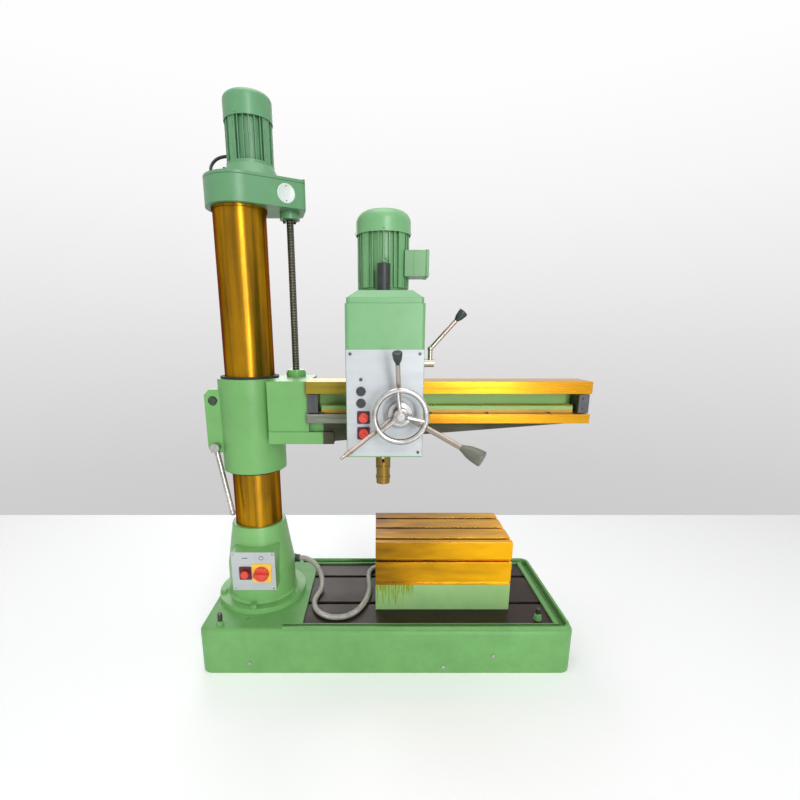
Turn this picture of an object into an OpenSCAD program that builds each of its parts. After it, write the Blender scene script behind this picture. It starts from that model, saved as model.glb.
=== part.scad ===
// Radial arm drill: a hollow base with a box table, a round column, an arm that
// swings and climbs on the column, and a geared drill head that runs along the arm.
// The origin is on the column's axis at the floor. X runs out along the arm,
// Y points away from the operator and Z points up. Lengths are in millimetres.

/* [Base] */
// Reach of the base to the left of the column's axis
base_left = 184; // [182:1:230]
// Reach of the base to the right of the column's axis
base_right = 1235; // [1190:1:1320]
// Width of the base from front to back
base_w = 560; // [545:1:620]
// Height of the painted deck above the floor
deck_z = 184; // [165:1:210]
// Height of the rim above the deck
rim_h = 7; // [4:1:12]
// Thickness of the outer walls of the base
base_wall = 20; // [16:1:26]
// Depth of the machined plate below the deck
plate_sink = 8; // [4:1:12]
// Width of the neck of the two T-slots in the base
base_slot_w = 18; // [12:1:22]

/* [Column] */
// Radius of the column
column_r = 93; // [90:1:103]
// Wall of the column tube
column_wall = 20; // [12:1:28]
// Height of the column above the deck
column_h = 1499; // [1450:1:1560]
// Radius of the pedestal's bolted flange
flange_r = 179; // [176:1:181]
// Thickness of the pedestal's bolted flange
flange_t = 22; // [16:1:30]
// Radius of the pedestal's body
ped_r = 136; // [128:1:138]
// Height of the pedestal above the deck
ped_h = 331; // [310:1:345]
// Number of flange bolts
ped_bolts = 5; // [4:1:8]

/* [Table] */
// Length of the work table along the arm
table_l = 538; // [480:1:600]
// Width of the work table from front to back
table_w = 303; // [280:1:312]
// Height of the work table above the base plate
table_h = 294; // [280:1:330]
// Width of the neck of the table's T-slots
table_slot_w = 16; // [12:1:20]

/* [Switch panel] */
// Width of the switch plate on the pedestal
sw_w = 169; // [160:1:190]
// Height of the switch plate on the pedestal
sw_h = 161; // [140:1:164]
// Radius of the isolator's knob
iso_knob_r = 29; // [22:1:33]

/* [Lift head] */
// Distance from the column's axis to the lead screw
screw_dist = 176; // [174:1:182]
// Turn of the lift head and its screw behind the arm, in degrees
lift_turn = 14.8; // [10:0.1:18]
// Radius of the lift gearbox around the column
gb_r = 115; // [110:1:125]
// Height of the lift gearbox without its lid
gb_h = 85; // [78:1:100]
// Radius of the lead screw
screw_r = 13; // [11:0.5:14]
// Radius of the lift motor's fan cowl
lift_cowl_r = 82.5; // [82:0.5:88]
// Height of the lift motor's finned frame
lift_frame_h = 155; // [145:1:170]
// Number of cooling fins on the lift motor
lift_fins = 26; // [16:1:30]

/* [Arm] */
// Radius of the sleeve on the column
sleeve_r = 122; // [119:1:126]
// Height of the sleeve
sleeve_h = 357; // [345:1:366]
// Height of the sleeve above the pedestal as shown
sleeve_lift = 228; // [200:1:260]
// Reach of the arm from the column's axis to its free end
arm_end = 1232; // [1200:1:1280]
// Height of the upper way
way_up_h = 42; // [36:1:46]
// Height of the lower way
way_low_h = 32; // [28:1:40]
// Length of the clamp lever
clamp_l = 262; // [220:1:270]

/* [Drill head] */
// Distance from the column's axis to the spindle as shown
head_x = 510; // [500:1:560]
// Width of the head
head_w = 230; // [226:1:250]
// Height of the head casting
head_h = 448; // [440:1:470]
// Height of the front plate
panel_h = 316; // [305:1:330]
// Radius of the head motor's fan cowl
motor_cowl_r = 86.5; // [85:0.5:90]
// Height of the head motor's finned frame
motor_frame_h = 173; // [160:1:185]
// Number of cooling fins on the head motor
motor_fins = 30; // [16:1:34]

/* [Spindle] */
// Radius of the quill
quill_r = 32; // [31:0.5:34]
// Room above the quill inside its bore
quill_room = 8; // [5:1:23]
// Radius of the spindle nose
nose_r = 24; // [21:0.5:26]
// Length of the spindle nose below the quill
nose_l = 112; // [100:1:130]
// Radius of the taper socket at its mouth
taper_r = 11.9; // [9:0.1:14]

/* [Handles] */
// Outer radius of the handwheel
wheel_r = 81; // [76:1:86]
// Radius of the handwheel's rim
wheel_rim_r = 8; // [6:0.5:9]
// Radius of the feed handle rods
handle_rod_r = 6.5; // [5:0.5:8]
// Length of the feed handles that carry the large knob or none
handle_l = 205; // [190:1:230]
// Radius of the side lever's rod
side_rod_r = 7; // [5:0.5:8]

/* [Hidden] */
$fn = 64;

// Paint and metal colours
green = "#7db47d";
amber = "#c98a1c";
steel = "#b9bcc0";
dark_steel = "#54575a";
black = "#26292b";
bronze = "#b08030";
red = "#d64a3c";
yellow = "#f2cf4a";
white = "#dfe2e6";

// Clearances: overrun of a cut, running fit, sliding gap, gear backlash
cut = 1;
fit = 0.05;
slip = 0.3;
tooth_thin_share = 0.86;
tooth_add_share = 0.75;
tooth_ded_share = 1.15;
steep_share = 0.9;
pressure = 20;

// Base: corner and edge rounding, rim, trough and plate margins
base_len = base_left + base_right;
base_mid = (base_right - base_left) / 2;
base_corner_r = 45;
base_edge_r = 20;
bead_x = 131;
rim_in = 12;
rim_w = 22;
trough_w = 18;
trough_end = 26;
trough_d = 20;
plate_x0 = 205;
plate_end = 67;
plate_side = 47;
plate_z = deck_z - plate_sink;
plate_x1 = base_right - plate_end;
plate_y = base_w / 2 - plate_side;
base_slot_front = -88;
base_slot_rear = 121;
base_neck_d = 14;
base_head_w = 32;
base_head_d = 12;
base_top_t = 45;
base_rib = 12;
cell_columns = 8;
cell_rows = 4;
cell_l = (base_len - 2 * base_wall - (cell_columns - 1) * base_rib) / cell_columns;
cell_w = (base_w - 2 * base_wall - (cell_rows - 1) * base_rib) / cell_rows;
lev_r = 9;
lev_boss_r = 25;
lev_stick = 46;
lev_nut_af = 26;
lev_nut_t = 14;
lev_washer_r = 16;
lev_washer_t = 3;
lev_left_in = 76;
lev_left_side = 40;
lev_right_in = 116;
lev_right_side = 84;
lev_places = [
    for (s = [-1, 1]) [-base_left + lev_left_in, s * (base_w / 2 - lev_left_side), deck_z],
    for (s = [-1, 1]) [base_right - lev_right_in, s * (base_w / 2 - lev_right_side), plate_z]
];
plug_r = 7;
plug_t = 3;
plug_shank_r = 4;
plug_shank_l = 12;
plug_left_x = 6;
plug_left_z = 44;
plug_mid_x = 742;
plug_mid_z = 27;
plug_right_x = 930;
plug_right_z = 75;
plug_places = [[plug_left_x, plug_left_z], [plug_mid_x, plug_mid_z], [plug_right_x, plug_right_z]];
deck_plug_x = -11;
deck_plug_y = -211;

// Pedestal and column
ped_top = deck_z + ped_h;
ped_shoulder = 150;
ped_neck_wall = 15;
ped_edge = 5;
ped_fillet = 8;
ped_bolt_circle = (ped_r + ped_fillet + flange_r) / 2;
ped_bolt_r = 8;
ped_bolt_af = 24;
ped_head_t = 10;
ped_washer_r = 14;
ped_washer_t = 3;
ped_bolt_deep = 24;
column_in_r = column_r - column_wall;
column_top = deck_z + column_h;
bearing_t = 8;
bearing_out = 4;

// Switch panel on the pedestal
sw_y = -165;
sw_x = 10;
sw_up = 99;
sw_z = deck_z + sw_up;
sw_plate_t = 3;
sw_wall = 10;
sw_pocket_d = 34;
sw_back = 60;
sw_screw_in = 9;
sw_screw_r = 3.5;
sw_screw_t = 2.5;
sw_front = sw_y + sw_plate_t;
iso_off = 32;
iso_z_off = 6;
iso_w = 74;
iso_plate_h = 78;
iso_plate_t = 4;
iso_knob_t = 13;
iso_grip_w = 15;
iso_grip_t = 12;
knob_shaft_r = 4;
knob_shaft_l = 26;
iso_x = sw_x + iso_off;
iso_z = sw_z + sw_h / 2 - iso_z_off;
stop_off = -32;
stop_w = 47;
stop_plate_h = 54;
stop_plate_t = 4;
stop_r = 15;
stop_t = 10;
stop_gap = 6;
stop_x = sw_x + stop_off;
stop_z = sw_z + sw_h / 2 - iso_z_off;

// Work table
table_x = 484;
table_rear = 63;
table_y = plate_y - table_rear - table_w;
table_z = plate_z;
table_top = table_z + table_h;
table_foot_h = 119;
table_step = 5;
table_groove = 5;
table_wall = 52;
table_rib = 20;
table_core_h = 190;
table_cells = 3;
table_neck_d = 16;
table_head_w = 28;
table_head_d = 14;
table_slot_y1 = 33;
table_slot_y2 = 137;
table_slot_y3 = 237;
table_slots = [table_slot_y1, table_slot_y2, table_slot_y3];
side_slot_drop = 79;
side_neck_w = 12;
side_neck_d = 14;
side_head_w = 24;
side_head_d = 12;

// Flexible conduit: radius, sides, end fittings, its fall from the pedestal and its bends on the plate
conduit_r = 11;
conduit_sides = 10;
gland_y = 80;
gland_z = 116;
gland_boss_r = 21;
gland_boss_x = 126;
gland_af = 34;
gland_l = 20;
elbow_r = 19;
elbow_in_r = 10.7;
elbow_top = 34;
elbow_l = 24;
lie_y = 233;
fall = [
    [146, 80, 116], [168, 80, 116], [191, 79, 106], [211, 77, 91], [226, 71, 74], [238, 60, 56],
    [245, 45, 40], [248, 25, 26], [247, 3, 17], [244, -20, 12]
];
bends = [
    [238, -43], [233, -66], [231, -90], [234, -114], [241, -137], [252, -158], [268, -176], [287, -190],
    [309, -199], [333, -201], [357, -198], [378, -188], [397, -173], [412, -155], [424, -134],
    [434, -112], [442, -90], [448, -66], [453, -43], [456, -19], [457, 5], [457, 28], [455, 52],
    [453, 76], [452, 100], [452, 122], [455, 144], [463, 164], [477, 181], [494, 195], [514, 203],
    [536, 206], [546, 206], [556, 206]
];
route = concat(
    [for (p = fall) p + [0, 0, plate_z]],
    [for (p = bends) [p[0], p[1] * plate_y / lie_y, plate_z + conduit_r]]
);

// Lift head: gearbox, gear train and motor
gb_z = column_top + bearing_t + fit;
gb_end_in = 54;
gb_end = screw_dist + gb_end_in;
gb_end_w = 65.6;
gb_corner_r = 16;
gb_wall = 10;
gb_floor = 14;
spigot_l = 42;
spigot_wall = 16;
screw_flange_r = 36;
screw_flange_t = 24;
lid_t = 10;
lid_z = gb_z + gb_h;
lid_top = lid_z + lid_t;
boss_r = 100;
boss_top_r = 84;
boss_h = 36;
lift_m = 2.5;
motor_teeth = 16;
idler_teeth = 36;
idler_small_teeth = 18;
screw_teeth = 32;
idler_s = screw_dist - lift_m * (idler_small_teeth + screw_teeth) / 2;
motor_s = idler_s - lift_m * (motor_teeth + idler_teeth) / 2;
gear_w = 20;
gear_gap = 6;
gear_a_z = gb_z + gb_floor + gear_gap;
gear_b_z = gear_a_z + gear_w + gear_gap;
idler_r = 8;
idler_seat = 7;
lid_screw_r = 2.5;
lid_head_r = 4.4;
lid_head_t = 5;
lid_screw_l = 24;
flange_bolt_r = 5;
flange_bolt_t = 7;
flange_bolt_in = 9;
lid_screw_turns = [110, 180, 250];
frame_base_t = 10;
frame_base_r = 82;
lift_core_r = 70;
lift_fin_r = 80;
fin_t = 3.2;
fin_root = 4;
lug_w = 26;
lug_in = 2;
shield_t = 10;
stator_r = 48;
motor_shaft_r = 10;
rotor_gap = 0.8;
rotor_inset = 26;
lift_motor_z = lid_top + boss_h;
lift_frame_top = lift_motor_z + lift_frame_h;
cowl_wall = 2;
cowl_lap = 4;
lift_cowl_h = 76;
lift_cowl_round = 18;
vent_w = 6;
vent_in = 22;
vent_out = 6;
vents = 12;
fan_r = 66;
fan_t = 4;
fan_lift = 14;
blade_h = 16;
blade_t = 3;
blades = 7;
conn_w = 70;
conn_d = 44;
conn_h = 66;
conn_lift = 34;
conn_back = 62;
cable_r = 5.5;
cable_gland_r = 10;
cable_gland_l = 10;
cable_x = -98;
cable_y = 33;
cable_in_x = -6;
cable_in_y = 86;
cable_in_up = 104;
cable_in_z = lid_top + cable_in_up;
cable_bends = [
    [-16, 86, 104], [-28, 86, 104], [-45, 84, 104], [-62, 79, 102], [-78, 72, 96], [-91, 64, 86],
    [-100, 56, 73], [-105, 48, 58], [-104, 40, 43], [-100, 35, 29], [-98, 33, 20], [-98, 33, 10]
];
cable_route = [for (p = cable_bends) p + [0, 0, lid_top]];
screw_x = screw_dist * cos(lift_turn);
screw_y = screw_dist * sin(lift_turn);
screw_low = 190;

// Arm: sleeve, clamp, root, beam and ways
sleeve_z = ped_top + sleeve_lift;
sleeve_top = sleeve_z + sleeve_h;
wiper_t = 8;
wiper_w = 16;
way_y = -200;
way_rise = 2;
way_top = sleeve_top + way_rise;
way_up_z = way_top - way_up_h;
recess_h = 71;
recess_z = way_up_z - recess_h;
way_low_z = recess_z - way_low_h;
lip_t = 35;
recess_back = 85;
recess_up = 18;
arm_depth = 126;
arm_back = way_y + arm_depth;
beam_x0 = 245;
root_x0 = 100;
root_front = 35;
root_back = 88;
root_low = 82;
arm_low = way_low_z - root_low;
bar_x1 = 334;
bar_gap = 30;
bar_h = 44;
rib_front = 50;
rib_back = 110;
rib_tip = 8;
rib_x1 = 1190;
ear_x0 = -160;
ear_in = 90;
ear_half = 68;
ear_z0 = 74;
ear_z1 = 40;
ear_cut = 20;
split_w = 4;
clamp_x = -129;
clamp_up = 82;
clamp_r = 8;
clamp_af = 24;
clamp_head_t = 10;
clamp_sink_r = 18;
clamp_sink_d = 12;
lever_x = -124.5;
lever_up = 99;
lever_stud_r = 9;
lever_hub_r = 17;
lever_hub_l = 34;
lever_rod_r = 10;
lever_tip_r = 11.5;
lever_side = 52;
lever_out = 26;
lever_z = sleeve_z + lever_up;
nut_boss_r = 38;
nut_boss_up = 20;
nut_r = 26;
nut_l = 62;
nut_flange_r = 34;
nut_flange_t = 6;
nut_z = sleeve_top + nut_boss_up;
screw_clear = 2;
rack_m = 3;
rack_teeth = 14;
rack_w = 30;
rack_h = 26;
rack_y = 39;
rack_margin = 6;
stop_side = 2;
stop_x0 = beam_x0 + stop_side;
end_stop_l = 36;
end_stop_gap = 3;
end_stop_front = 10;
end_screw_r = 5;
end_screw_t = 3;
end_screw_l = 20;
end_screw_share = 0.26;
arm_stop_x1 = arm_end - end_stop_l - stop_side;

// Drill head: casting, cavity, plate and motor
spin_off = 125;
spin_y = way_y - spin_off;
head_front_off = 102;
head_front = spin_y - head_front_off;
head_back = way_y - slip;
head_rear_off = 82;
head_rear = way_y + head_rear_off;
head_low_drop = 60;
head_z = way_low_z - head_low_drop;
head_top = head_z + head_h;
head_left = 112;
head_x0 = head_x - head_left;
head_x1 = head_x0 + head_w;
head_corner_r = 12;
core_wall = 15;
core_front_wall = 12;
core_h = 87;
core_floor = 15;
core_z = head_top - core_h;
core_back = 40;
core_y1 = way_y + core_back;
cover_t = 16;
cover_in = 4;
hood_in = 3;
hood_h = 22;
hood_slope = 29;
hood_rear = 5;
hood_wall = 10;
cover_top = head_top + cover_t + hood_h;
panel_t = 3;
panel_in = 2.5;
panel_up = 4;
panel_y = head_front - panel_t;
panel_z = head_z + panel_up;
panel_screw_in = 12;
panel_screw_r = 4.5;
panel_screw_t = 3;
panel_screw_shank_r = 2.5;
panel_screw_l = 10;
feed_m = 2;
feed_teeth = 14;
feed_w = 16;
hub_r = 11;
hub_x = head_x + quill_r + feed_m * feed_teeth / 2;
hub_z = recess_z + rack_h + rack_m * rack_teeth / 2;
wheel_shaft_r = 7;
keeper_low = 35;
keeper_l1 = 120;
keeper_l2 = 34;
keeper_side = 7;
keeper_back = 60;
keeper_up = 16;
drive_m = 2.5;
drive_teeth = 68;
pinion_teeth = 24;
drive_w = 20;
motor_y = spin_y + drive_m * (drive_teeth + pinion_teeth) / 2;
drive_up = 32;
drive_z = core_z + drive_up;
sleeve_gear_r = 24;
spline_r = 12;
motor_core_r = 74;
motor_fin_r = 82;
motor_base_r = 74;
motor_base_t = 12;
motor_neck_r = 72;
motor_neck_h = 7;
motor_z = cover_top;
motor_fin_z = motor_z + motor_base_t + motor_neck_h;
motor_top = motor_fin_z + motor_frame_h;
motor_cowl_h = 66;
motor_cowl_round = 34;
motor_stator_r = 52;
motor_fan_r = 70;
tb_out = 65;
tb_x = head_x + tb_out;
tb_l = 28;
tb_lid_l = 46;
tb_w = 78;
tb_h = 77;
tb_up = 33;
tb_wall = 4;
tb_off = 20;
guard_r = 20;
guard_wall = 2.5;
guard_h = 81;
guard_foot_r = 24;
guard_foot_t = 6;

// Quill and spindle
quill_out = 2;
quill_z = head_z - quill_out;
quill_l = core_z - core_floor - quill_room - quill_z;
quill_wall = 8;
quill_in_r = quill_r - quill_wall;
rack_sink = 12;
feed_rack_w = 16;
feed_rack_lead = 16;
bearing_l = 20;
bearing_in = 8;
spindle_r = 18;
spindle_top_l = 223;
nose_groove = 1.8;
band_w = 8;
band1_z = 21;
band2_z = 56;
taper_top_r = 9.9;
taper_l = 81;
drift_w = 8;
drift_h = 26;
drift_z = 74;

// Feed hub, handles and handwheel
hub_flange_r = 34;
hub_flange_t = 40;
hub_gap = 1;
hub_front = panel_y - hub_gap - hub_flange_t;
handle_turns = [94, -26, 214];
handle_splay = 25;
handle_start = 22;
handle_up_l = 160;
handle_lengths = [handle_up_l, handle_l, handle_l];
handle_right_r = 8;
handle_radii = [handle_rod_r, handle_right_r, handle_rod_r];
thread_l = 16;
thread_r = 4;
knob_small_l = 36;
knob_small_r = 14;
knob_big_l = 68;
knob_big_r = 23;
knob_neck_share = 0.42;
knob_waist_share = 0.5;
knob_cap_share = 0.86;
wheel_gap = 35;
wheel_y = hub_front - wheel_gap;
wheel_hub_r = 20;
wheel_hub_l = 26;
wheel_dome_l = 8;
spoke_r = 5.5;
spoke_turns = [97, -12, 218];

// Controls on the front plate and the side lever
control_x = -67;
lamp_r = 5;
lamp_z = 235;
lamp_t = 4;
raise_z = 200;
lower_z = 165;
push_r = 11;
push_ring_r = 14;
push_ring_t = 4;
push_t = 6;
push_stem_r = 6;
push_stem_l = 14;
turn_x = -60;
turn_w = 38;
turn_plate_t = 4;
selector_z = 123;
emergency_z = 75;
turn_r = 14;
turn_t = 10;
turn_grip_w = 8;
turn_grip_t = 9;
side_off = 5;
side_y = spin_y - side_off;
side_drop = 172;
side_hub_r = 12;
side_knuckle = 1.5;
side_hub_l = 32;
side_pin_r = 6;
side_pin_l = 10;
side_boss_r = 18;
side_boss_l = 6;
side_rise = 43;
side_run = 75;
side_climb = 84;
side_knob_l = 36;
side_knob_r = 15;
side_z = head_top - side_drop;

// Box between two opposite corners
module box(a, b) {
    translate(a) cube(b - a);
}

// Round bars that start at p and run along +X, +Y or +Z
module rod_x(p, r, l) {
    translate(p) rotate([0, 90, 0]) cylinder(r = r, h = l);
}

module rod_y(p, r, l) {
    translate(p) rotate([-90, 0, 0]) cylinder(r = r, h = l);
}

module rod_z(p, r, l) {
    translate(p) cylinder(r = r, h = l);
}

// Round bar between two points
module bar(a, b, r) {
    d = b - a;
    flat = norm([d[0], d[1]]);
    translate(a) rotate([0, atan2(flat, d[2]), atan2(d[1], d[0])]) cylinder(r = r, h = norm(d));
}

// Hexagonal head along +Z or +Y, sized across its flats
module hex_z(p, af, t) {
    translate(p) cylinder(r = af / (2 * cos(30)), h = t, $fn = 6);
}

module hex_y(p, af, t) {
    translate(p) rotate([-90, 0, 0]) cylinder(r = af / (2 * cos(30)), h = t, $fn = 6);
}

// Flat outline with round corners, centred
module round_rect(l, w, r) {
    square([l - 2 * r, w], center = true);
    square([l, w - 2 * r], center = true);
    for (sx = [-1, 1], sy = [-1, 1])
        translate([sx * (l / 2 - r), sy * (w / 2 - r)]) circle(r);
}

// Upright plate in the XZ plane with round corners, its front face at y
module panel_plate(x, y, z, w, h, t, r) {
    translate([x, y + t, z]) rotate([90, 0, 0]) linear_extrude(t) round_rect(w, h, r);
}

// Block on the floor with round corners r and a rounded top edge e
module soft_profile(l, h, e) {
    translate([-l / 2, 0]) square([l, h - e]);
    translate([-l / 2 + e, 0]) square([l - 2 * e, h]);
    for (s = [-1, 1])
        translate([s * (l / 2 - e), h - e]) circle(e);
}

module soft_block(l, w, h, r, e) {
    translate([0, w / 2 - r, 0]) rotate([90, 0, 0]) linear_extrude(w - 2 * r) soft_profile(l, h, e);
    translate([r - l / 2, 0, 0]) rotate([90, 0, 90]) linear_extrude(l - 2 * r) soft_profile(w, h, e);
    for (sx = [-1, 1], sy = [-1, 1])
        translate([sx * (l / 2 - r), sy * (w / 2 - r), 0]) rotate_extrude() {
            square([r, h - e]);
            square([r - e, h]);
            translate([r - e, h - e]) circle(e);
        }
}

// Slot along X with a narrow neck and a wide head, cut down from z
module t_slot(x0, x1, y, z, neck, neck_d, head, head_d) {
    box([x0, y - neck / 2, z - neck_d - head_d / 2], [x1, y + neck / 2, z + cut]);
    box([x0, y - head / 2, z - neck_d - head_d], [x1, y + head / 2, z - neck_d]);
}

// Involute teeth: half angle of a tooth at radius r
function inv(a) = tan(a) * 180 / PI - a;
function slope_at(r, rb) = r > rb ? acos(rb / r) : 0;
function tooth_half(m, z, r) =
    90 / z * tooth_thin_share + inv(pressure) - inv(slope_at(r, m * z / 2 * cos(pressure)));
function gear_pts(m, z, turn) =
    let (rp = m * z / 2, ra = rp + tooth_add_share * m, rf = rp - tooth_ded_share * m)
    [for (i = [0:z - 1], k = [0:5])
        let (r = [rf, rp, ra, ra, rp, rf][k], h = tooth_half(m, z, r) * (k < 3 ? -1 : 1))
        let (a = turn + 360 * i / z + h) [r * cos(a), r * sin(a)]];

module gear(m, z, w, turn) {
    linear_extrude(w) polygon(gear_pts(m, z, turn));
}

// Straight rack outline: teeth along X from n0 to n1 pitches, tips up, body down to -body
function rack_pts(m, n0, n1, body) =
    let (p = PI * m, half = p / 4 * tooth_thin_share)
    let (tip = half - tooth_add_share * m * tan(pressure),
        foot = half + tooth_ded_share * m * tan(pressure))
    concat(
        [[(n0 - 1 / 2) * p, -body], [(n0 - 1 / 2) * p, -tooth_ded_share * m]],
        [for (i = [n0:n1], k = [0:3])
            [i * p + [-foot, -tip, tip, foot][k],
            m * [-tooth_ded_share, tooth_add_share][k % 3 == 0 ? 0 : 1]]],
        [[(n1 + 1 / 2) * p, -tooth_ded_share * m], [(n1 + 1 / 2) * p, -body]]
    );

// Round cord swept along a route, with flat ends
function route_dir(path, i) =
    let (a = path[max(i - 1, 0)], b = path[min(i + 1, len(path) - 1)]) (b - a) / norm(b - a);
function route_side(d) =
    let (s = abs(d[2]) > steep_share ? cross(d, [1, 0, 0]) : cross(d, [0, 0, 1])) s / norm(s);
function route_ring(path, i, r, n) =
    let (d = route_dir(path, i), s = route_side(d), u = cross(s, d))
    [for (k = [0:n - 1]) path[i] + r * cos(360 * k / n) * s + r * sin(360 * k / n) * u];
function cord_skin(m, n) =
    [for (i = [0:m - 2], k = [0:n - 1], h = [0, 1])
        let (a = i * n + k, b = i * n + (k + 1) % n) h == 0 ? [b + n, b, a] : [a + n, b + n, a]];

module cord(path, r, n) {
    m = len(path);
    points = [for (i = [0:m - 1], p = route_ring(path, i, r, n)) p];
    caps = [for (k = [1:n - 2]) [0, k, k + 1]];
    far = [for (k = [1:n - 2]) [(m - 1) * n, (m - 1) * n + k + 1, (m - 1) * n + k]];
    polyhedron(points, concat(cord_skin(m, n), caps, far));
}

// Outline of the base, drawn in by inset
module base_outline(inset) {
    translate([base_mid, 0]) round_rect(base_len - 2 * inset, base_w - 2 * inset, base_corner_r - inset);
}

module right_of_bead() {
    translate([bead_x, -base_w]) square([base_len, 2 * base_w]);
}

module base_body() {
    translate([base_mid, 0, 0]) soft_block(base_len, base_w, deck_z, base_corner_r, base_edge_r);
    linear_extrude(deck_z + rim_h) intersection() {
        base_outline(rim_in);
        right_of_bead();
    }
}

module base_cells() {
    for (i = [0:cell_columns - 1], j = [0:cell_rows - 1])
        translate([
            -base_left + base_wall + i * (cell_l + base_rib),
            -base_w / 2 + base_wall + j * (cell_w + base_rib),
            -cut
        ]) cube([cell_l, cell_w, plate_z - base_top_t + cut]);
}

module base_casting() {
    color(green) difference() {
        union() {
            difference() {
                base_body();
                base_cells();
            }
            for (p = lev_places)
                rod_z([p[0], p[1], 0], lev_boss_r, plate_z - base_top_t + cut);
        }
        translate([0, 0, deck_z]) linear_extrude(rim_h + cut) intersection() {
            base_outline(rim_w);
            right_of_bead();
        }
        translate([0, 0, deck_z - trough_d]) linear_extrude(trough_d + cut) difference() {
            intersection() {
                base_outline(rim_w);
                right_of_bead();
            }
            translate([-base_left, -base_w / 2 + rim_w + trough_w])
                square([base_len - rim_w - trough_end, base_w - 2 * rim_w - 2 * trough_w]);
        }
        box([plate_x0, -plate_y, plate_z], [plate_x1, plate_y, deck_z + cut]);
        for (y = [base_slot_front, base_slot_rear])
            t_slot(plate_x0, plate_x1, y, plate_z, base_slot_w, base_neck_d, base_head_w, base_head_d);
        for (p = lev_places)
            rod_z([p[0], p[1], -cut], lev_r + fit, deck_z + rim_h + 2 * cut);
        for (i = [0:ped_bolts - 1])
            rotate(360 * i / ped_bolts - 90)
                rod_z(
                    [ped_bolt_circle, 0, deck_z - ped_bolt_deep], ped_bolt_r + fit, ped_bolt_deep + cut
                );
        for (p = plug_places)
            rod_y([p[0], -base_w / 2 - cut, p[1]], plug_shank_r + fit, plug_shank_l + cut);
        rod_z([deck_plug_x, deck_plug_y, deck_z - plug_shank_l], plug_shank_r + fit, plug_shank_l + cut);
    }
}

module levelling_screws() {
    color(dark_steel) for (p = lev_places) {
        rod_z([p[0], p[1], 0], lev_r, p[2] + lev_stick);
        rod_z(p, lev_washer_r, lev_washer_t);
        hex_z(p + [0, 0, lev_washer_t], lev_nut_af, lev_nut_t);
    }
}

// Screw centres in the corners of the switch plate, as X and Z
function switch_spots() =
    [for (x = [sw_x - sw_w / 2 + sw_screw_in, sw_x + sw_w / 2 - sw_screw_in],
        z = [sw_z + sw_screw_in, sw_z + sw_h - sw_screw_in]) [x, z]];

module stand_screws() {
    color(steel) {
        for (p = plug_places) {
            rod_y([p[0], -base_w / 2 - plug_t, p[1]], plug_r, plug_t);
            rod_y([p[0], -base_w / 2 - plug_t, p[1]], plug_shank_r, plug_t + plug_shank_l);
        }
        rod_z([deck_plug_x, deck_plug_y, deck_z], plug_r, plug_t);
        rod_z([deck_plug_x, deck_plug_y, deck_z - plug_shank_l], plug_shank_r, plug_t + plug_shank_l);
        for (p = switch_spots()) {
            rod_y([p[0], sw_y - sw_screw_t, p[1]], sw_screw_r, sw_screw_t);
            rod_y([p[0], sw_y - sw_screw_t, p[1]], sw_screw_r / 2, sw_screw_t + sw_plate_t + sw_wall / 2);
        }
    }
}

module column_pedestal() {
    bore = column_r + fit;
    color(green) difference() {
        union() {
            rotate_extrude() polygon([
                [0, deck_z], [flange_r, deck_z], [flange_r, deck_z + flange_t],
                [ped_r + ped_fillet, deck_z + flange_t], [ped_r, deck_z + flange_t + ped_fillet],
                [ped_r, deck_z + ped_shoulder], [column_r + ped_neck_wall, ped_top - ped_edge],
                [column_r + ped_neck_wall - ped_edge / 2, ped_top], [0, ped_top]
            ]);
            box([sw_x - sw_w / 2, sw_front, sw_z], [sw_x + sw_w / 2, -sw_back, sw_z + sw_h]);
            rod_x([ped_r / 2, gland_y, plate_z + gland_z], gland_boss_r, gland_boss_x - ped_r / 2);
        }
        rod_z([0, 0, deck_z - cut], bore, ped_h + 2 * cut);
        box(
            [sw_x - sw_w / 2 + sw_wall, sw_front - cut, sw_z + sw_wall],
            [sw_x + sw_w / 2 - sw_wall, sw_front + sw_pocket_d, sw_z + sw_h - sw_wall]
        );
        for (p = switch_spots())
            rod_y([p[0], sw_front - cut, p[1]], sw_screw_r / 2 + fit, sw_wall + cut);
        for (i = [0:ped_bolts - 1])
            rotate(360 * i / ped_bolts - 90)
                rod_z([ped_bolt_circle, 0, deck_z - cut], ped_bolt_r + fit, flange_t + 2 * cut);
    }
}

module pedestal_bolts() {
    top = deck_z + flange_t;
    color(green) for (i = [0:ped_bolts - 1])
        rotate(360 * i / ped_bolts - 90) {
            rod_z(
                [ped_bolt_circle, 0, deck_z - ped_bolt_deep], ped_bolt_r,
                ped_bolt_deep + flange_t + ped_washer_t
            );
            rod_z([ped_bolt_circle, 0, top], ped_washer_r, ped_washer_t);
            hex_z([ped_bolt_circle, 0, top + ped_washer_t], ped_bolt_af, ped_head_t);
        }
}

module column() {
    color(amber) difference() {
        rod_z([0, 0, deck_z], column_r, column_h);
        rod_z([0, 0, deck_z - cut], column_in_r, column_h + 2 * cut);
    }
}

module column_bearing() {
    color(steel) difference() {
        rod_z([0, 0, column_top], column_r + bearing_out, bearing_t);
        rod_z([0, 0, column_top - cut], column_in_r + fit, bearing_t + 2 * cut);
    }
}

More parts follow.
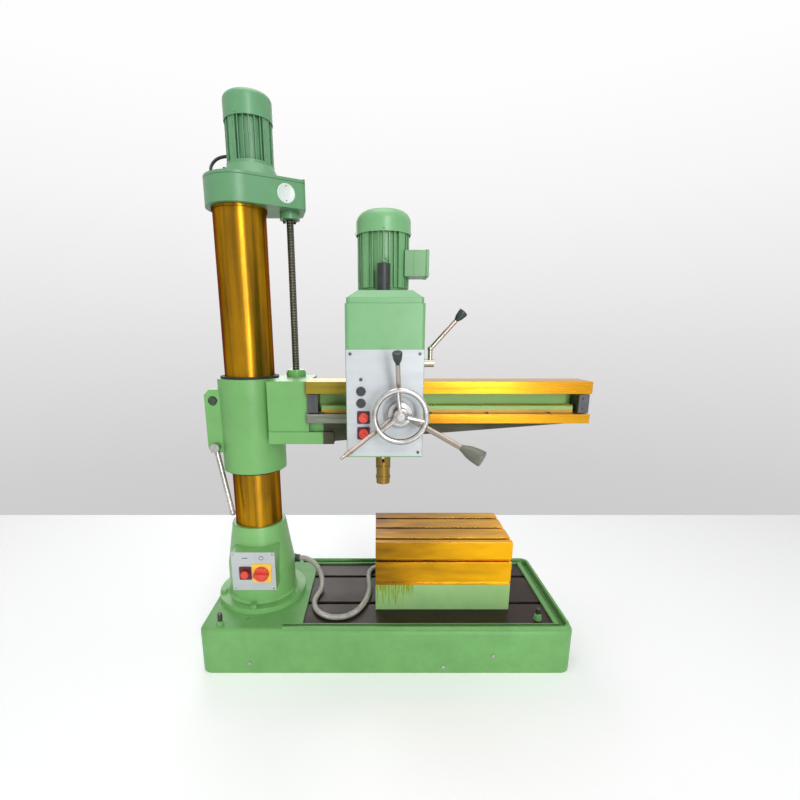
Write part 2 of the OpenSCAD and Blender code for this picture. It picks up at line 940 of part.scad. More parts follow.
module work_table() {
    cell = (table_l - 2 * table_wall - (table_cells - 1) * table_rib) / table_cells;
    slot_z = table_top - side_slot_drop;
    color(amber) translate([table_x, table_y, 0]) difference() {
        union() {
            box(
                [table_step, table_step, table_z], [table_l - table_step, table_w - table_step, table_top]
            );
            box([0, 0, table_z + table_foot_h + table_groove], [table_l, table_w, table_top]);
            box([0, 0, table_z], [table_l, table_w, table_z + table_foot_h]);
        }
        for (y = table_slots)
            t_slot(
                -cut, table_l + cut, y, table_top, table_slot_w, table_neck_d, table_head_w, table_head_d
            );
        box(
            [-cut, -cut, slot_z - side_neck_w / 2],
            [table_l + cut, side_neck_d + side_head_d / 2, slot_z + side_neck_w / 2]
        );
        box(
            [-cut, side_neck_d, slot_z - side_head_w / 2],
            [table_l + cut, side_neck_d + side_head_d, slot_z + side_head_w / 2]
        );
        for (i = [0:table_cells - 1])
            translate([table_wall + i * (cell + table_rib), table_wall, table_z - cut])
                cube([cell, table_w - 2 * table_wall, table_core_h + cut]);
    }
}

module switch_plate() {
    color(white) difference() {
        box([sw_x - sw_w / 2, sw_y, sw_z], [sw_x + sw_w / 2, sw_front, sw_z + sw_h]);
        rod_y([iso_x, sw_y - cut, iso_z], knob_shaft_r + fit, sw_plate_t + 2 * cut);
        rod_y([stop_x, sw_y - cut, stop_z], knob_shaft_r + fit, sw_plate_t + 2 * cut);
        for (p = switch_spots())
            rod_y([p[0], sw_y - cut, p[1]], sw_screw_r / 2 + fit, sw_plate_t + 2 * cut);
    }
}

module isolator_plate() {
    color(yellow) difference() {
        panel_plate(iso_x, sw_y - iso_plate_t, iso_z, iso_w, iso_plate_h, iso_plate_t, iso_plate_t);
        rod_y([iso_x, sw_y - iso_plate_t - cut, iso_z], knob_shaft_r + fit, iso_plate_t + 2 * cut);
    }
}

module isolator_knob() {
    back = sw_y - iso_plate_t - slip;
    color(red) {
        rod_y([iso_x, back - iso_knob_t, iso_z], iso_knob_r, iso_knob_t);
        panel_plate(
            iso_x, back - iso_knob_t - iso_grip_t, iso_z, 2 * iso_knob_r, iso_grip_w,
            iso_grip_t + cut, iso_grip_w / 2 - fit
        );
        rod_y([iso_x, back - cut, iso_z], knob_shaft_r, knob_shaft_l);
    }
}

module stop_plate() {
    color(black) difference() {
        panel_plate(
            stop_x, sw_y - stop_plate_t, stop_z, stop_w, stop_plate_h, stop_plate_t, stop_plate_t
        );
        rod_y([stop_x, sw_y - stop_plate_t - cut, stop_z], knob_shaft_r + fit, stop_plate_t + 2 * cut);
    }
}

module stop_button() {
    back = sw_y - stop_plate_t - stop_gap;
    color(red) {
        rod_y([stop_x, back - stop_t, stop_z], stop_r, stop_t);
        rod_y([stop_x, back - cut, stop_z], knob_shaft_r, knob_shaft_l);
    }
}

module conduit() {
    color(steel) cord(route, conduit_r, conduit_sides);
}

module conduit_glands() {
    last = route[len(route) - 1];
    color(black) {
        translate([gland_boss_x, gland_y, plate_z + gland_z]) rotate([0, 90, 0])
            cylinder(r = gland_af / (2 * cos(30)), h = gland_l / 2, $fn = 6);
        rod_x([gland_boss_x, gland_y, plate_z + gland_z], gland_af / 2, gland_l);
        rod_x(last, elbow_in_r, elbow_l);
        rod_z([last[0] + elbow_l, last[1], plate_z], elbow_r, elbow_top);
    }
}

// Outline of the lift gearbox, drawn in by inset: round at the column, square at the screw
module gb_outline(inset) {
    r0 = gb_r - inset;
    r1 = gb_corner_r - inset;
    c = [gb_end - gb_corner_r, gb_end_w - gb_corner_r];
    turn = atan2(c[1], c[0]) + acos((r0 - r1) / norm(c));
    n = [cos(turn), sin(turn)];
    circle(r0);
    for (s = [-1, 1])
        translate([c[0], s * c[1]]) circle(r1);
    polygon([
        r0 * n, c + r1 * n, c, [c[0] + r1, c[1]], [c[0] + r1, -c[1]], [c[0], -c[1]],
        [c[0] + r1 * n[0], -c[1] - r1 * n[1]], [r0 * n[0], -r0 * n[1]]
    ]);
}

module lift_frame() {
    rotate(lift_turn) children();
}

// Centres of the lid screws, over the middle of the gearbox wall
function lid_spots() = concat(
    [for (a = lid_screw_turns) (gb_r - gb_wall / 2) * [cos(a), sin(a)]],
    [for (s = [-1, 1]) [gb_end - gb_wall / 2, s * (gb_end_w - gb_corner_r)]]
);

module lift_gearbox() {
    color(green) lift_frame() difference() {
        union() {
            translate([0, 0, gb_z]) linear_extrude(gb_h) gb_outline(0);
            rod_z([0, 0, gb_z - spigot_l], column_in_r - fit, spigot_l + cut);
            rod_z([screw_dist, 0, gb_z - screw_flange_t], screw_flange_r, screw_flange_t + cut);
        }
        translate([0, 0, gb_z + gb_floor]) linear_extrude(gb_h) gb_outline(gb_wall);
        rod_z([0, 0, gb_z - spigot_l - cut], column_in_r - spigot_wall, spigot_l + cut);
        rod_z(
            [screw_dist, 0, gb_z - screw_flange_t - cut], screw_r + fit,
            screw_flange_t + gb_floor + 2 * cut
        );
        rod_z([idler_s, 0, gb_z + gb_floor - idler_seat], idler_r + fit, idler_seat + cut);
        for (p = lid_spots())
            rod_z([p[0], p[1], lid_top - lid_screw_l], lid_screw_r + fit, lid_screw_l);
        for (i = [0:3])
            translate([screw_dist, 0, 0]) rotate(45 + 90 * i)
                translate([screw_flange_r - flange_bolt_in, 0, 0])
                rod_z(
                    [0, 0, gb_z - screw_flange_t - cut], flange_bolt_r / 2 + fit, screw_flange_t / 2 + cut
                );
    }
}

module lift_gearbox_lid() {
    color(green) lift_frame() difference() {
        union() {
            translate([0, 0, lid_z]) linear_extrude(lid_t) gb_outline(0);
            translate([motor_s, 0, lid_top]) cylinder(r1 = boss_r, r2 = boss_top_r, h = boss_h);
            rotate(-lift_turn) rod_z([cable_x, cable_y, lid_top], cable_gland_r, cable_gland_l);
        }
        rod_z([motor_s, 0, lid_z - cut], motor_shaft_r + slip, lid_t + boss_h + 2 * cut);
        rod_z([idler_s, 0, lid_z - cut], idler_r + fit, idler_seat + cut);
        for (p = lid_spots())
            rod_z([p[0], p[1], lid_z - cut], lid_screw_r + fit, lid_t + 2 * cut);
    }
}

module lift_fasteners() {
    color(dark_steel) lift_frame() {
        for (p = lid_spots()) {
            rod_z([p[0], p[1], lid_top], lid_head_r, lid_head_t);
            rod_z([p[0], p[1], lid_top - lid_screw_l], lid_screw_r, lid_screw_l + lid_head_t);
        }
        for (i = [0:3])
            translate([screw_dist, 0, 0]) rotate(45 + 90 * i)
                translate([screw_flange_r - flange_bolt_in, 0, 0]) {
                rod_z([0, 0, gb_z - screw_flange_t - flange_bolt_t], flange_bolt_r, flange_bolt_t);
                rod_z(
                    [0, 0, gb_z - screw_flange_t - flange_bolt_t], flange_bolt_r / 2,
                    flange_bolt_t + screw_flange_t / 2
                );
            }
    }
}

// Finned motor frame that stands at z on the axis of the current frame, with a seat ring for its cowl
module finned_frame(z, h, core, fin, fins, stator, seat) {
    difference() {
        union() {
            rod_z([0, 0, z], core, h);
            rod_z([0, 0, z + h - shield_t], seat, shield_t / 2);
            for (i = [0:fins - 1])
                rotate(360 * (i + 1 / 2) / fins)
                    box([core - fin_root, -fin_t / 2, z], [fin, fin_t / 2, z + h - shield_t]);
            for (i = [0:3])
                rotate(45 + 90 * i)
                    box([core - fin_root, -lug_w / 2, z], [fin - lug_in, lug_w / 2, z + h - shield_t]);
        }
        rod_z([0, 0, z + shield_t], stator, h - 2 * shield_t);
        rod_z([0, 0, z - cut], motor_shaft_r + slip, h + 2 * cut);
    }
}

// Fan cowl that covers the top of a motor, closed above with radial vents and a rounded rim e
module fan_cowl(z, h, r, e) {
    difference() {
        rotate_extrude() difference() {
            translate([0, z]) soft_profile(2 * r, h, e);
            translate([0, z - cut]) soft_profile(2 * (r - cowl_wall), h - cowl_wall + cut, e - cowl_wall);
            translate([-2 * r, z - 2 * cut]) square([2 * r, h + 3 * cut]);
        }
        for (i = [0:vents - 1])
            rotate(360 * i / vents)
                box(
                    [vent_in, -vent_w / 2, z + h - 2 * cowl_wall],
                    [r - e - vent_out, vent_w / 2, z + h + cut]
                );
    }
}

// Motor rotor: shaft with core and fan, between z0 and z1
module rotor(z0, z1, core_z0, core_z1, stator, fan_z, fan) {
    rod_z([0, 0, z0], motor_shaft_r, z1 - z0);
    rod_z([0, 0, core_z0], stator - rotor_gap, core_z1 - core_z0);
    rod_z([0, 0, fan_z], fan, fan_t);
    for (i = [0:blades - 1])
        rotate(360 * i / blades)
            box(
                [motor_shaft_r - cut, -blade_t / 2, fan_z + fan_t / 2],
                [fan, blade_t / 2, fan_z + fan_t + blade_h]
            );
}

module lift_motor_frame() {
    conn_z = lift_motor_z + conn_lift;
    color(green) difference() {
        union() {
            lift_frame() translate([motor_s, 0, 0]) {
                finned_frame(
                    lift_motor_z, lift_frame_h, lift_core_r, lift_fin_r, lift_fins, stator_r,
                    lift_cowl_r - cowl_wall - fit
                );
                rod_frame_base(lift_motor_z);
            }
            lift_frame() translate([motor_s, 0, 0])
                box([-conn_w / 2, conn_back, conn_z], [conn_w / 2, conn_back + conn_d, conn_z + conn_h]);
            rod_x([cable_in_x - cable_gland_l, cable_in_y, cable_in_z], cable_gland_r, 2 * cable_gland_l);
        }
        lift_frame() translate([motor_s, 0, 0]) {
            rod_z([0, 0, lift_motor_z - cut], motor_shaft_r + slip, lift_frame_h + 2 * cut);
            rod_z([0, 0, lift_motor_z + shield_t], stator_r, lift_frame_h - 2 * shield_t);
        }
    }
}

module rod_frame_base(z) {
    difference() {
        rod_z([0, 0, z], frame_base_r, frame_base_t);
        rod_z([0, 0, z - cut], motor_shaft_r + slip, frame_base_t + 2 * cut);
    }
}

module lift_motor_cowl() {
    color(green) lift_frame() translate([motor_s, 0, 0])
        fan_cowl(
            lift_frame_top - shield_t - cowl_lap, lift_cowl_h + cowl_lap, lift_cowl_r, lift_cowl_round
        );
}

module lift_motor_cable() {
    color(black) cord(cable_route, cable_r, conduit_sides);
}

module lift_motor_rotor() {
    color(steel) lift_frame() translate([motor_s, 0, 0]) {
        rotor(
            gear_a_z, lift_frame_top + fan_lift, lift_motor_z + rotor_inset, lift_frame_top - rotor_inset,
            stator_r, lift_frame_top + fan_lift / 2, fan_r
        );
        translate([0, 0, gear_a_z]) gear(lift_m, motor_teeth, gear_w, 0);
    }
}

module lift_idler() {
    color(steel) lift_frame() translate([idler_s, 0, 0]) {
        rod_z(
            [0, 0, gb_z + gb_floor - idler_seat + slip], idler_r,
            gb_h - gb_floor + 2 * idler_seat - 2 * slip
        );
        translate([0, 0, gear_a_z]) gear(lift_m, idler_teeth, gear_w, 180 + 180 / idler_teeth);
        translate([0, 0, gear_b_z]) gear(lift_m, idler_small_teeth, gear_w, 0);
    }
}

module lift_screw() {
    low = sleeve_z + screw_low;
    color(dark_steel) lift_frame() translate([screw_dist, 0, 0]) {
        rod_z([0, 0, low], screw_r, gear_b_z + gear_w - low);
        translate([0, 0, gear_b_z]) gear(lift_m, screw_teeth, gear_w, 180 + 180 / screw_teeth);
    }
}

// Section of the arm's beam in Y and Z, with the recess behind the upper way's lip
module beam_section() {
    difference() {
        translate([way_y, way_low_z]) square([arm_depth, way_top - way_low_z]);
        translate([way_y - cut, recess_z]) square([recess_back + cut, recess_h]);
        translate([way_y + lip_t, recess_z]) square([recess_back - lip_t, recess_h + recess_up]);
    }
}

module arm_beam() {
    translate([beam_x0 - cut, 0, 0]) rotate([90, 0, 90])
        linear_extrude(arm_end - beam_x0 + cut) beam_section();
    translate([0, way_y + rib_back, 0]) rotate([90, 0, 0]) linear_extrude(rib_back - rib_front) polygon([
        [root_x0, arm_low], [beam_x0, arm_low],
        [rib_x1, way_low_z - rib_tip], [rib_x1, way_low_z + way_low_h / 2],
        [root_x0, way_low_z + way_low_h / 2]
    ]);
    box([root_x0, way_y + bar_gap, arm_low], [bar_x1, arm_back, arm_low + bar_h]);
}

module arm_ears() {
    z0 = sleeve_z + ear_z0;
    z1 = sleeve_top - ear_z1;
    translate([0, ear_half, 0]) rotate([90, 0, 0]) linear_extrude(2 * ear_half) polygon([
        [-ear_in, z0], [ear_x0 + ear_cut / 2, z0], [ear_x0, z0 + ear_cut], [ear_x0, z1 - ear_cut],
        [ear_x0 + ear_cut, z1], [-ear_in, z1]
    ]);
}

module arm_casting() {
    clamp_z = sleeve_top - clamp_up;
    color(green) difference() {
        union() {
            rod_z([0, 0, sleeve_z], sleeve_r, sleeve_h);
            arm_ears();
            box([root_x0, way_y + root_front, arm_low], [beam_x0, root_back, sleeve_top]);
            rod_z([screw_x, screw_y, arm_low], nut_boss_r, nut_z - arm_low);
            arm_beam();
        }
        rod_z([0, 0, sleeve_z - cut], column_r + fit, sleeve_h + 2 * cut);
        box([ear_x0 - cut, -split_w / 2, sleeve_z - cut], [-ear_in, split_w / 2, sleeve_top + cut]);
        rod_z([screw_x, screw_y, arm_low - cut], screw_r + screw_clear, nut_z - arm_low + 2 * cut);
        rod_z([screw_x, screw_y, nut_z - nut_l], nut_r + fit, nut_l + cut);
        rod_y([clamp_x, -ear_half - cut, clamp_z], clamp_r + fit, 2 * ear_half + 2 * cut);
        rod_y([clamp_x, -ear_half - cut, clamp_z], clamp_sink_r, clamp_sink_d + cut);
        rod_y([lever_x, -ear_half - cut, lever_z], lever_stud_r + fit, 2 * ear_half + 2 * cut);
        for (p = end_screw_spots())
            rod_y([p[0], way_y + recess_back - cut, p[1]], end_screw_r / 2 + fit, end_screw_l + cut);
    }
}

module arm_rack() {
    p = PI * rack_m;
    turns0 = ceil((stop_x0 + end_stop_l + rack_margin - hub_x) / p);
    turns1 = floor((arm_stop_x1 - rack_margin - hub_x) / p) - 1;
    color(amber) translate([hub_x + p / 2, way_y + rack_y + rack_w, recess_z + rack_h]) rotate([90, 0, 0])
        linear_extrude(rack_w) polygon(rack_pts(rack_m, turns0, turns1, rack_h));
}

// Screw centres on the two end stops, as X and Z
function end_screw_spots() =
    [for (x = [stop_x0, arm_stop_x1], s = [-1, 1])
        [x + end_stop_l / 2, recess_z + recess_h * (1 / 2 + s * end_screw_share)]];

module arm_end_stops() {
    color(dark_steel) difference() {
        for (x = [stop_x0, arm_stop_x1])
            box(
                [x, way_y + end_stop_front, recess_z + end_stop_gap],
                [x + end_stop_l, way_y + recess_back, recess_z + recess_h - end_stop_gap]
            );
        for (p = end_screw_spots())
            rod_y([p[0], way_y, p[1]], end_screw_r / 2 + fit, recess_back + cut);
    }
}

module arm_bolts() {
    clamp_z = sleeve_top - clamp_up;
    color(steel) {
        for (p = end_screw_spots()) {
            rod_y([p[0], way_y + end_stop_front - end_screw_t, p[1]], end_screw_r, end_screw_t);
            rod_y(
                [p[0], way_y + end_stop_front - end_screw_t, p[1]], end_screw_r / 2,
                recess_back + end_screw_l - end_stop_front + end_screw_t
            );
        }
        rod_y(
            [clamp_x, -ear_half + clamp_sink_d - clamp_head_t, clamp_z], clamp_r,
            2 * ear_half - clamp_sink_d + 2 * clamp_head_t
        );
        hex_y([clamp_x, -ear_half + clamp_sink_d - clamp_head_t, clamp_z], clamp_af, clamp_head_t);
        hex_y([clamp_x, ear_half, clamp_z], clamp_af, clamp_head_t);
    }
}

module lift_nut() {
    color(bronze) translate([screw_x, screw_y, 0]) difference() {
        union() {
            rod_z([0, 0, nut_z - nut_l], nut_r, nut_l + nut_flange_t);
            rod_z([0, 0, nut_z], nut_flange_r, nut_flange_t);
        }
        rod_z([0, 0, nut_z - nut_l - cut], screw_r + fit, nut_l + nut_flange_t + 2 * cut);
    }
}

module sleeve_wipers() {
    color(black) for (z = [sleeve_z - wiper_t, sleeve_top])
        difference() {
            rod_z([0, 0, z], column_r + wiper_w, wiper_t);
            rod_z([0, 0, z - cut], column_r + slip, wiper_t + 2 * cut);
        }
}

module clamp_lever() {
    front = -ear_half - slip;
    a = [lever_x, front - lever_hub_l / 2, lever_z];
    drop = sqrt(clamp_l * clamp_l - lever_side * lever_side - lever_out * lever_out);
    b = a + [lever_side, -lever_out, -drop];
    color(steel) {
        rod_y([lever_x, front - lever_hub_l, lever_z], lever_hub_r, lever_hub_l);
        rod_y([lever_x, front - cut, lever_z], lever_stud_r, 2 * ear_half + 2 * slip);
        bar(a, b, lever_rod_r);
        translate(b) sphere(lever_tip_r);
    }
}

// Outline of the head seen from above, between two Y values
module head_outline(y0, y1) {
    translate([(head_x0 + head_x1) / 2, (y0 + y1) / 2]) round_rect(head_w, y1 - y0, head_corner_r);
}

module head_casting() {
    bore_low = quill_z - quill_out;
    color(green) difference() {
        union() {
            translate([0, 0, head_z]) linear_extrude(way_top + slip - head_z + cut)
                head_outline(head_front, head_back);
            translate([0, 0, way_top + slip]) linear_extrude(head_top - way_top - slip)
                head_outline(head_front, head_rear);
            rod_x([head_x1 - cut, side_y, side_z], side_boss_r, side_boss_l + cut);
        }
        box(
            [head_x0 + core_wall, head_front + core_front_wall, core_z],
            [head_x1 - core_wall, core_y1, head_top + cut]
        );
        rod_z([head_x, spin_y, bore_low - cut], quill_r + fit, core_z - core_floor - bore_low + cut);
        rod_z([head_x, spin_y, core_z - core_floor - cut], sleeve_gear_r + fit, core_floor + 2 * cut);
        box(
            [head_x, spin_y - feed_rack_w / 2 - cut, bore_low - cut],
            [head_x + quill_r + feed_m + cut, spin_y + feed_rack_w / 2 + cut, core_z - core_floor]
        );
        rod_y([hub_x, head_front - cut, hub_z], hub_r + fit, spin_y - head_front + feed_w);
        rod_y(
            [hub_x, spin_y - feed_w / 2 - cut, hub_z],
            feed_m * (feed_teeth / 2 + 1) + cut, feed_w + 2 * cut
        );
        rod_y([hub_x, spin_y, hub_z], wheel_shaft_r + fit, head_back - spin_y + cut);
        rod_x([head_x1 - side_pin_l, side_y, side_z], side_pin_r + fit, side_pin_l + side_boss_l + cut);
        for (z = [raise_z, lower_z])
            rod_y(
                [head_x + control_x, head_front - cut, head_z + z], push_stem_r + fit, push_stem_l + cut
            );
        for (z = [selector_z, emergency_z])
            rod_y(
                [head_x + turn_x, head_front - cut, head_z + z], knob_shaft_r + fit, knob_shaft_l + cut
            );
        for (p = panel_spots())
            rod_y([p[0], head_front - cut, p[1]], panel_screw_shank_r + fit, panel_screw_l + cut);
    }
}

// Plate with a hood whose sides slope in towards the motor, hollow from below
module head_cover() {
    x0 = head_x0 + cover_in + hood_in;
    x1 = head_x1 - cover_in - hood_in;
    y0 = head_front + cover_in + hood_in;
    y1 = head_rear - cover_in - hood_in;
    z = head_top + cover_t;
    color(green) difference() {
        union() {
            translate([0, 0, head_top]) linear_extrude(cover_t)
                translate([(head_x0 + head_x1) / 2, (head_front + head_rear) / 2])
                    round_rect(head_w - 2 * cover_in, head_rear - head_front - 2 * cover_in, head_corner_r);
            intersection() {
                translate([0, y1, 0]) rotate([90, 0, 0]) linear_extrude(y1 - y0) polygon([
                    [x0, z - cut], [x1, z - cut], [x1, z], [x1 - hood_slope, cover_top],
                    [x0 + hood_slope, cover_top], [x0, z]
                ]);
                translate([x0, 0, 0]) rotate([90, 0, 90]) linear_extrude(x1 - x0) polygon([
                    [y0, z - cut], [y1, z - cut], [y1, z], [y1 - hood_rear, cover_top],
                    [y0 + hood_slope, cover_top], [y0, z]
                ]);
            }
        }
        box(
            [x0 + hood_slope, y0 + hood_slope, head_top - cut],
            [x1 - hood_slope, y1 - hood_rear - hood_wall, cover_top - hood_wall]
        );
        rod_z([head_x, motor_y, head_top - cut], motor_shaft_r + slip, cover_t + hood_h + 2 * cut);
        rod_z([head_x, spin_y, head_top - cut], spline_r + slip, cover_t + hood_h + 2 * cut);
    }
}

// Keepers hook behind the upper way's lip on both sides of the rack pinion
module head_keepers() {
    low = recess_z + keeper_low;
    spans = [[head_x0 + keeper_side, keeper_l1], [head_x1 - keeper_side - keeper_l2, keeper_l2]];
    color(steel) for (s = spans) {
        box([s[0], head_back, low], [s[0] + s[1], way_y + keeper_back, way_up_z - slip]);
        box([s[0], way_y + lip_t + slip, low], [s[0] + s[1], way_y + keeper_back, way_up_z + keeper_up]);
    }
}

// Screw centres in the corners of the front plate, as X and Z
function panel_spots() =
    [for (x = [head_x0 + panel_in + panel_screw_in, head_x1 - panel_in - panel_screw_in],
        z = [panel_z + panel_screw_in, panel_z + panel_h - panel_screw_in]) [x, z]];

module front_plate() {
    color(white) difference() {
        box([head_x0 + panel_in, panel_y, panel_z], [head_x1 - panel_in, head_front, panel_z + panel_h]);
        rod_y([hub_x, panel_y - cut, hub_z], hub_r + slip, panel_t + 2 * cut);
        for (z = [raise_z, lower_z])
            rod_y([head_x + control_x, panel_y - cut, head_z + z], push_stem_r + fit, panel_t + 2 * cut);
        for (z = [selector_z, emergency_z])
            rod_y([head_x + turn_x, panel_y - cut, head_z + z], knob_shaft_r + fit, panel_t + 2 * cut);
        for (p = panel_spots())
            rod_y([p[0], panel_y - cut, p[1]], panel_screw_shank_r + fit, panel_t + 2 * cut);
    }
}

module plate_screws() {
    color(dark_steel) for (p = panel_spots()) {
        rod_y([p[0], panel_y - panel_screw_t, p[1]], panel_screw_r, panel_screw_t);
        rod_y(
            [p[0], panel_y - panel_screw_t, p[1]], panel_screw_shank_r,
            panel_screw_t + panel_t + panel_screw_l
        );
    }
}

module control_bezels() {
    color(black) {
        rod_y([head_x + control_x, panel_y - lamp_t, head_z + lamp_z], lamp_r, lamp_t);
        for (z = [raise_z, lower_z])
            difference() {
                rod_y([head_x + control_x, panel_y - push_ring_t, head_z + z], push_ring_r, push_ring_t);
                rod_y(
                    [head_x + control_x, panel_y - push_ring_t - cut, head_z + z],
                    push_r + slip, push_ring_t + 2 * cut
                );
            }
        for (z = [selector_z, emergency_z])
            difference() {
                panel_plate(
                    head_x + turn_x, panel_y - turn_plate_t, head_z + z,
                    turn_w, turn_w, turn_plate_t, turn_plate_t
                );
                rod_y(
                    [head_x + turn_x, panel_y - turn_plate_t - cut, head_z + z],
                    knob_shaft_r + fit, turn_plate_t + 2 * cut
                );
            }
    }
}

module head_motor_frame() {
    color(green) translate([head_x, motor_y, 0]) difference() {
        union() {
            rod_z([0, 0, motor_z], motor_base_r, motor_base_t);
            rod_z([0, 0, motor_z], motor_neck_r, motor_base_t + motor_neck_h + cut);
            finned_frame(
                motor_fin_z, motor_frame_h, motor_core_r, motor_fin_r, motor_fins, motor_stator_r,
                motor_cowl_r - cowl_wall - fit
            );
        }
        rod_z(
            [0, 0, motor_z - cut], motor_shaft_r + slip, motor_base_t + motor_neck_h + shield_t + 2 * cut
        );
    }
}

module head_motor_cowl() {
    color(green) translate([head_x, motor_y, 0])
        fan_cowl(
            motor_top - shield_t - cowl_lap, motor_cowl_h + cowl_lap, motor_cowl_r, motor_cowl_round
        );
}

// Terminal box on the right of the head motor, as inner box and outer lid
module terminal_box() {
    z = motor_fin_z + tb_up;
    y = motor_y - tb_off;
    color(green) difference() {
        box([tb_x, y - tb_w / 2, z], [tb_x + tb_l, y + tb_w / 2, z + tb_h]);
        rod_z([head_x, motor_y, z - cut], motor_fin_r + slip, tb_h + 2 * cut);
    }
}

module terminal_box_lid() {
    z = motor_fin_z + tb_up;
    y = motor_y - tb_off;
    x = tb_x + tb_l;
    color(green) difference() {
        box([x, y - tb_w / 2, z], [x + tb_lid_l, y + tb_w / 2, z + tb_h]);
        box(
            [x - cut, y - tb_w / 2 + tb_wall, z + tb_wall],
            [x + tb_lid_l - tb_wall, y + tb_w / 2 - tb_wall, z + tb_h - tb_wall]
        );
    }
}

module spindle_guard() {
    color(black) translate([head_x, spin_y, cover_top]) difference() {
        union() {
            rod_z([0, 0, 0], guard_r, guard_h);
            rod_z([0, 0, 0], guard_foot_r, guard_foot_t);
        }
        rod_z([0, 0, -cut], guard_r - guard_wall, guard_h - guard_wall + cut);
    }
}

module head_motor_rotor() {
    color(steel) translate([head_x, motor_y, 0]) {
        rotor(
            drive_z - gear_gap, motor_top + fan_lift, motor_fin_z + rotor_inset, motor_top - rotor_inset,
            motor_stator_r, motor_top + fan_lift / 2, motor_fan_r
        );
        translate([0, 0, drive_z]) gear(drive_m, pinion_teeth, drive_w, -90 + 180 / pinion_teeth);
    }
}

module spindle_gear() {
    low = core_z - core_floor + slip;
    color(steel) translate([head_x, spin_y, 0]) difference() {
        union() {
            rod_z([0, 0, low], sleeve_gear_r, head_top - slip - low);
            translate([0, 0, drive_z]) gear(drive_m, drive_teeth, drive_w, 90);
        }
        rod_z([0, 0, low - cut], spline_r + fit, head_top - low + 2 * cut);
    }
}

module quill() {
    p = PI * feed_m;
    n0 = ceil((quill_z + feed_rack_lead - hub_z) / p);
    n1 = floor((quill_z + quill_l - hub_z) / p) - 1;
    flat_x = head_x + quill_r - tooth_ded_share * feed_m;
    color(steel) difference() {
        union() {
            difference() {
                rod_z([head_x, spin_y, quill_z], quill_r, quill_l);
                box(
                    [flat_x, spin_y - quill_r, hub_z + n0 * p],
                    [head_x + quill_r + cut, spin_y + quill_r, hub_z + (n1 + 1) * p]
                );
            }
            translate([head_x + quill_r, spin_y + feed_rack_w / 2, hub_z + p / 2])
                rotate([90, 90, 0]) mirror([1, 0, 0]) linear_extrude(feed_rack_w)
                    polygon(rack_pts(feed_m, n0, n1, rack_sink));
        }
        rod_z([head_x, spin_y, quill_z - cut], quill_in_r, quill_l + 2 * cut);
    }
}

module spindle_bearings() {
    color(dark_steel) for (z = [quill_z + bearing_in, quill_z + quill_l - bearing_in - bearing_l])
        difference() {
            rod_z([head_x, spin_y, z], quill_in_r - fit, bearing_l);
            rod_z([head_x, spin_y, z - cut], spindle_r + fit, bearing_l + 2 * cut);
        }
}

module spindle() {
    low = quill_z - slip - nose_l;
    color(amber) translate([head_x, spin_y, 0]) difference() {
        union() {
            rod_z([0, 0, low], nose_r - nose_groove, nose_l);
            rod_z([0, 0, low + band1_z - band_w / 2], nose_r, band_w);
            rod_z([0, 0, low + band2_z - band_w / 2], nose_r, band_w);
            rod_z([0, 0, low + band2_z + band_w], nose_r, nose_l - band2_z - band_w);
            rod_z([0, 0, low], spindle_r, nose_l + quill_l);
            rod_z([0, 0, low], spline_r, nose_l + quill_l + spindle_top_l);
        }
        translate([0, 0, low - fit]) cylinder(r1 = taper_r, r2 = taper_top_r, h = taper_l);
        box(
            [-drift_w / 2, -nose_r - cut, low + drift_z],
            [drift_w / 2, nose_r + cut, low + drift_z + drift_h]
        );
    }
}

module feed_hub() {
    color(steel) difference() {
        union() {
            rod_y([hub_x, hub_front, hub_z], hub_flange_r, hub_flange_t);
            rod_y([hub_x, hub_front, hub_z], hub_r, spin_y + feed_w / 2 - hub_front);
            translate([hub_x, spin_y + feed_w / 2, hub_z]) rotate([90, 0, 0])
                gear(feed_m, feed_teeth, feed_w, 180);
        }
        rod_y([hub_x, hub_front - cut, hub_z], wheel_shaft_r + fit, spin_y - hub_front + feed_w);
        for (i = [0:2])
            handle_frame(i)
                rod_z([0, 0, handle_start], handle_radii[i] + fit, hub_flange_r + hub_flange_t);
    }
}

// Frame of one feed handle: Z runs out along the handle from the hub's middle
module handle_frame(i) {
    translate([hub_x, hub_front + hub_flange_t / 2, hub_z]) rotate([0, 90 - handle_turns[i], 0])
        rotate([handle_splay, 0, 0]) children();
}

module feed_handles() {
    color(steel) for (i = [0:2])
        handle_frame(i) {
            rod_z([0, 0, handle_start], handle_radii[i], handle_lengths[i] - handle_start);
            rod_z([0, 0, handle_lengths[i] - cut], thread_r, thread_l + cut);
        }
}

// Tulip knob along +Z with a blind hole for the handle's threaded end
module tulip(l, r) {
    difference() {
        rotate_extrude() polygon([
            [0, 0], [r * knob_neck_share, 0], [r * knob_waist_share, l * knob_waist_share / 2],
            [r * knob_cap_share, l * knob_waist_share], [r, l * knob_cap_share],
            [r * knob_cap_share, l], [0, l]
        ]);
        rod_z([0, 0, -cut], thread_r + fit, thread_l + fit + cut);
    }
}

module feed_knobs() {
    color(black) {
        handle_frame(0) translate([0, 0, handle_lengths[0] + fit]) tulip(knob_small_l, knob_small_r);
        handle_frame(1) translate([0, 0, handle_lengths[1] + fit]) tulip(knob_big_l, knob_big_r);
    }
}

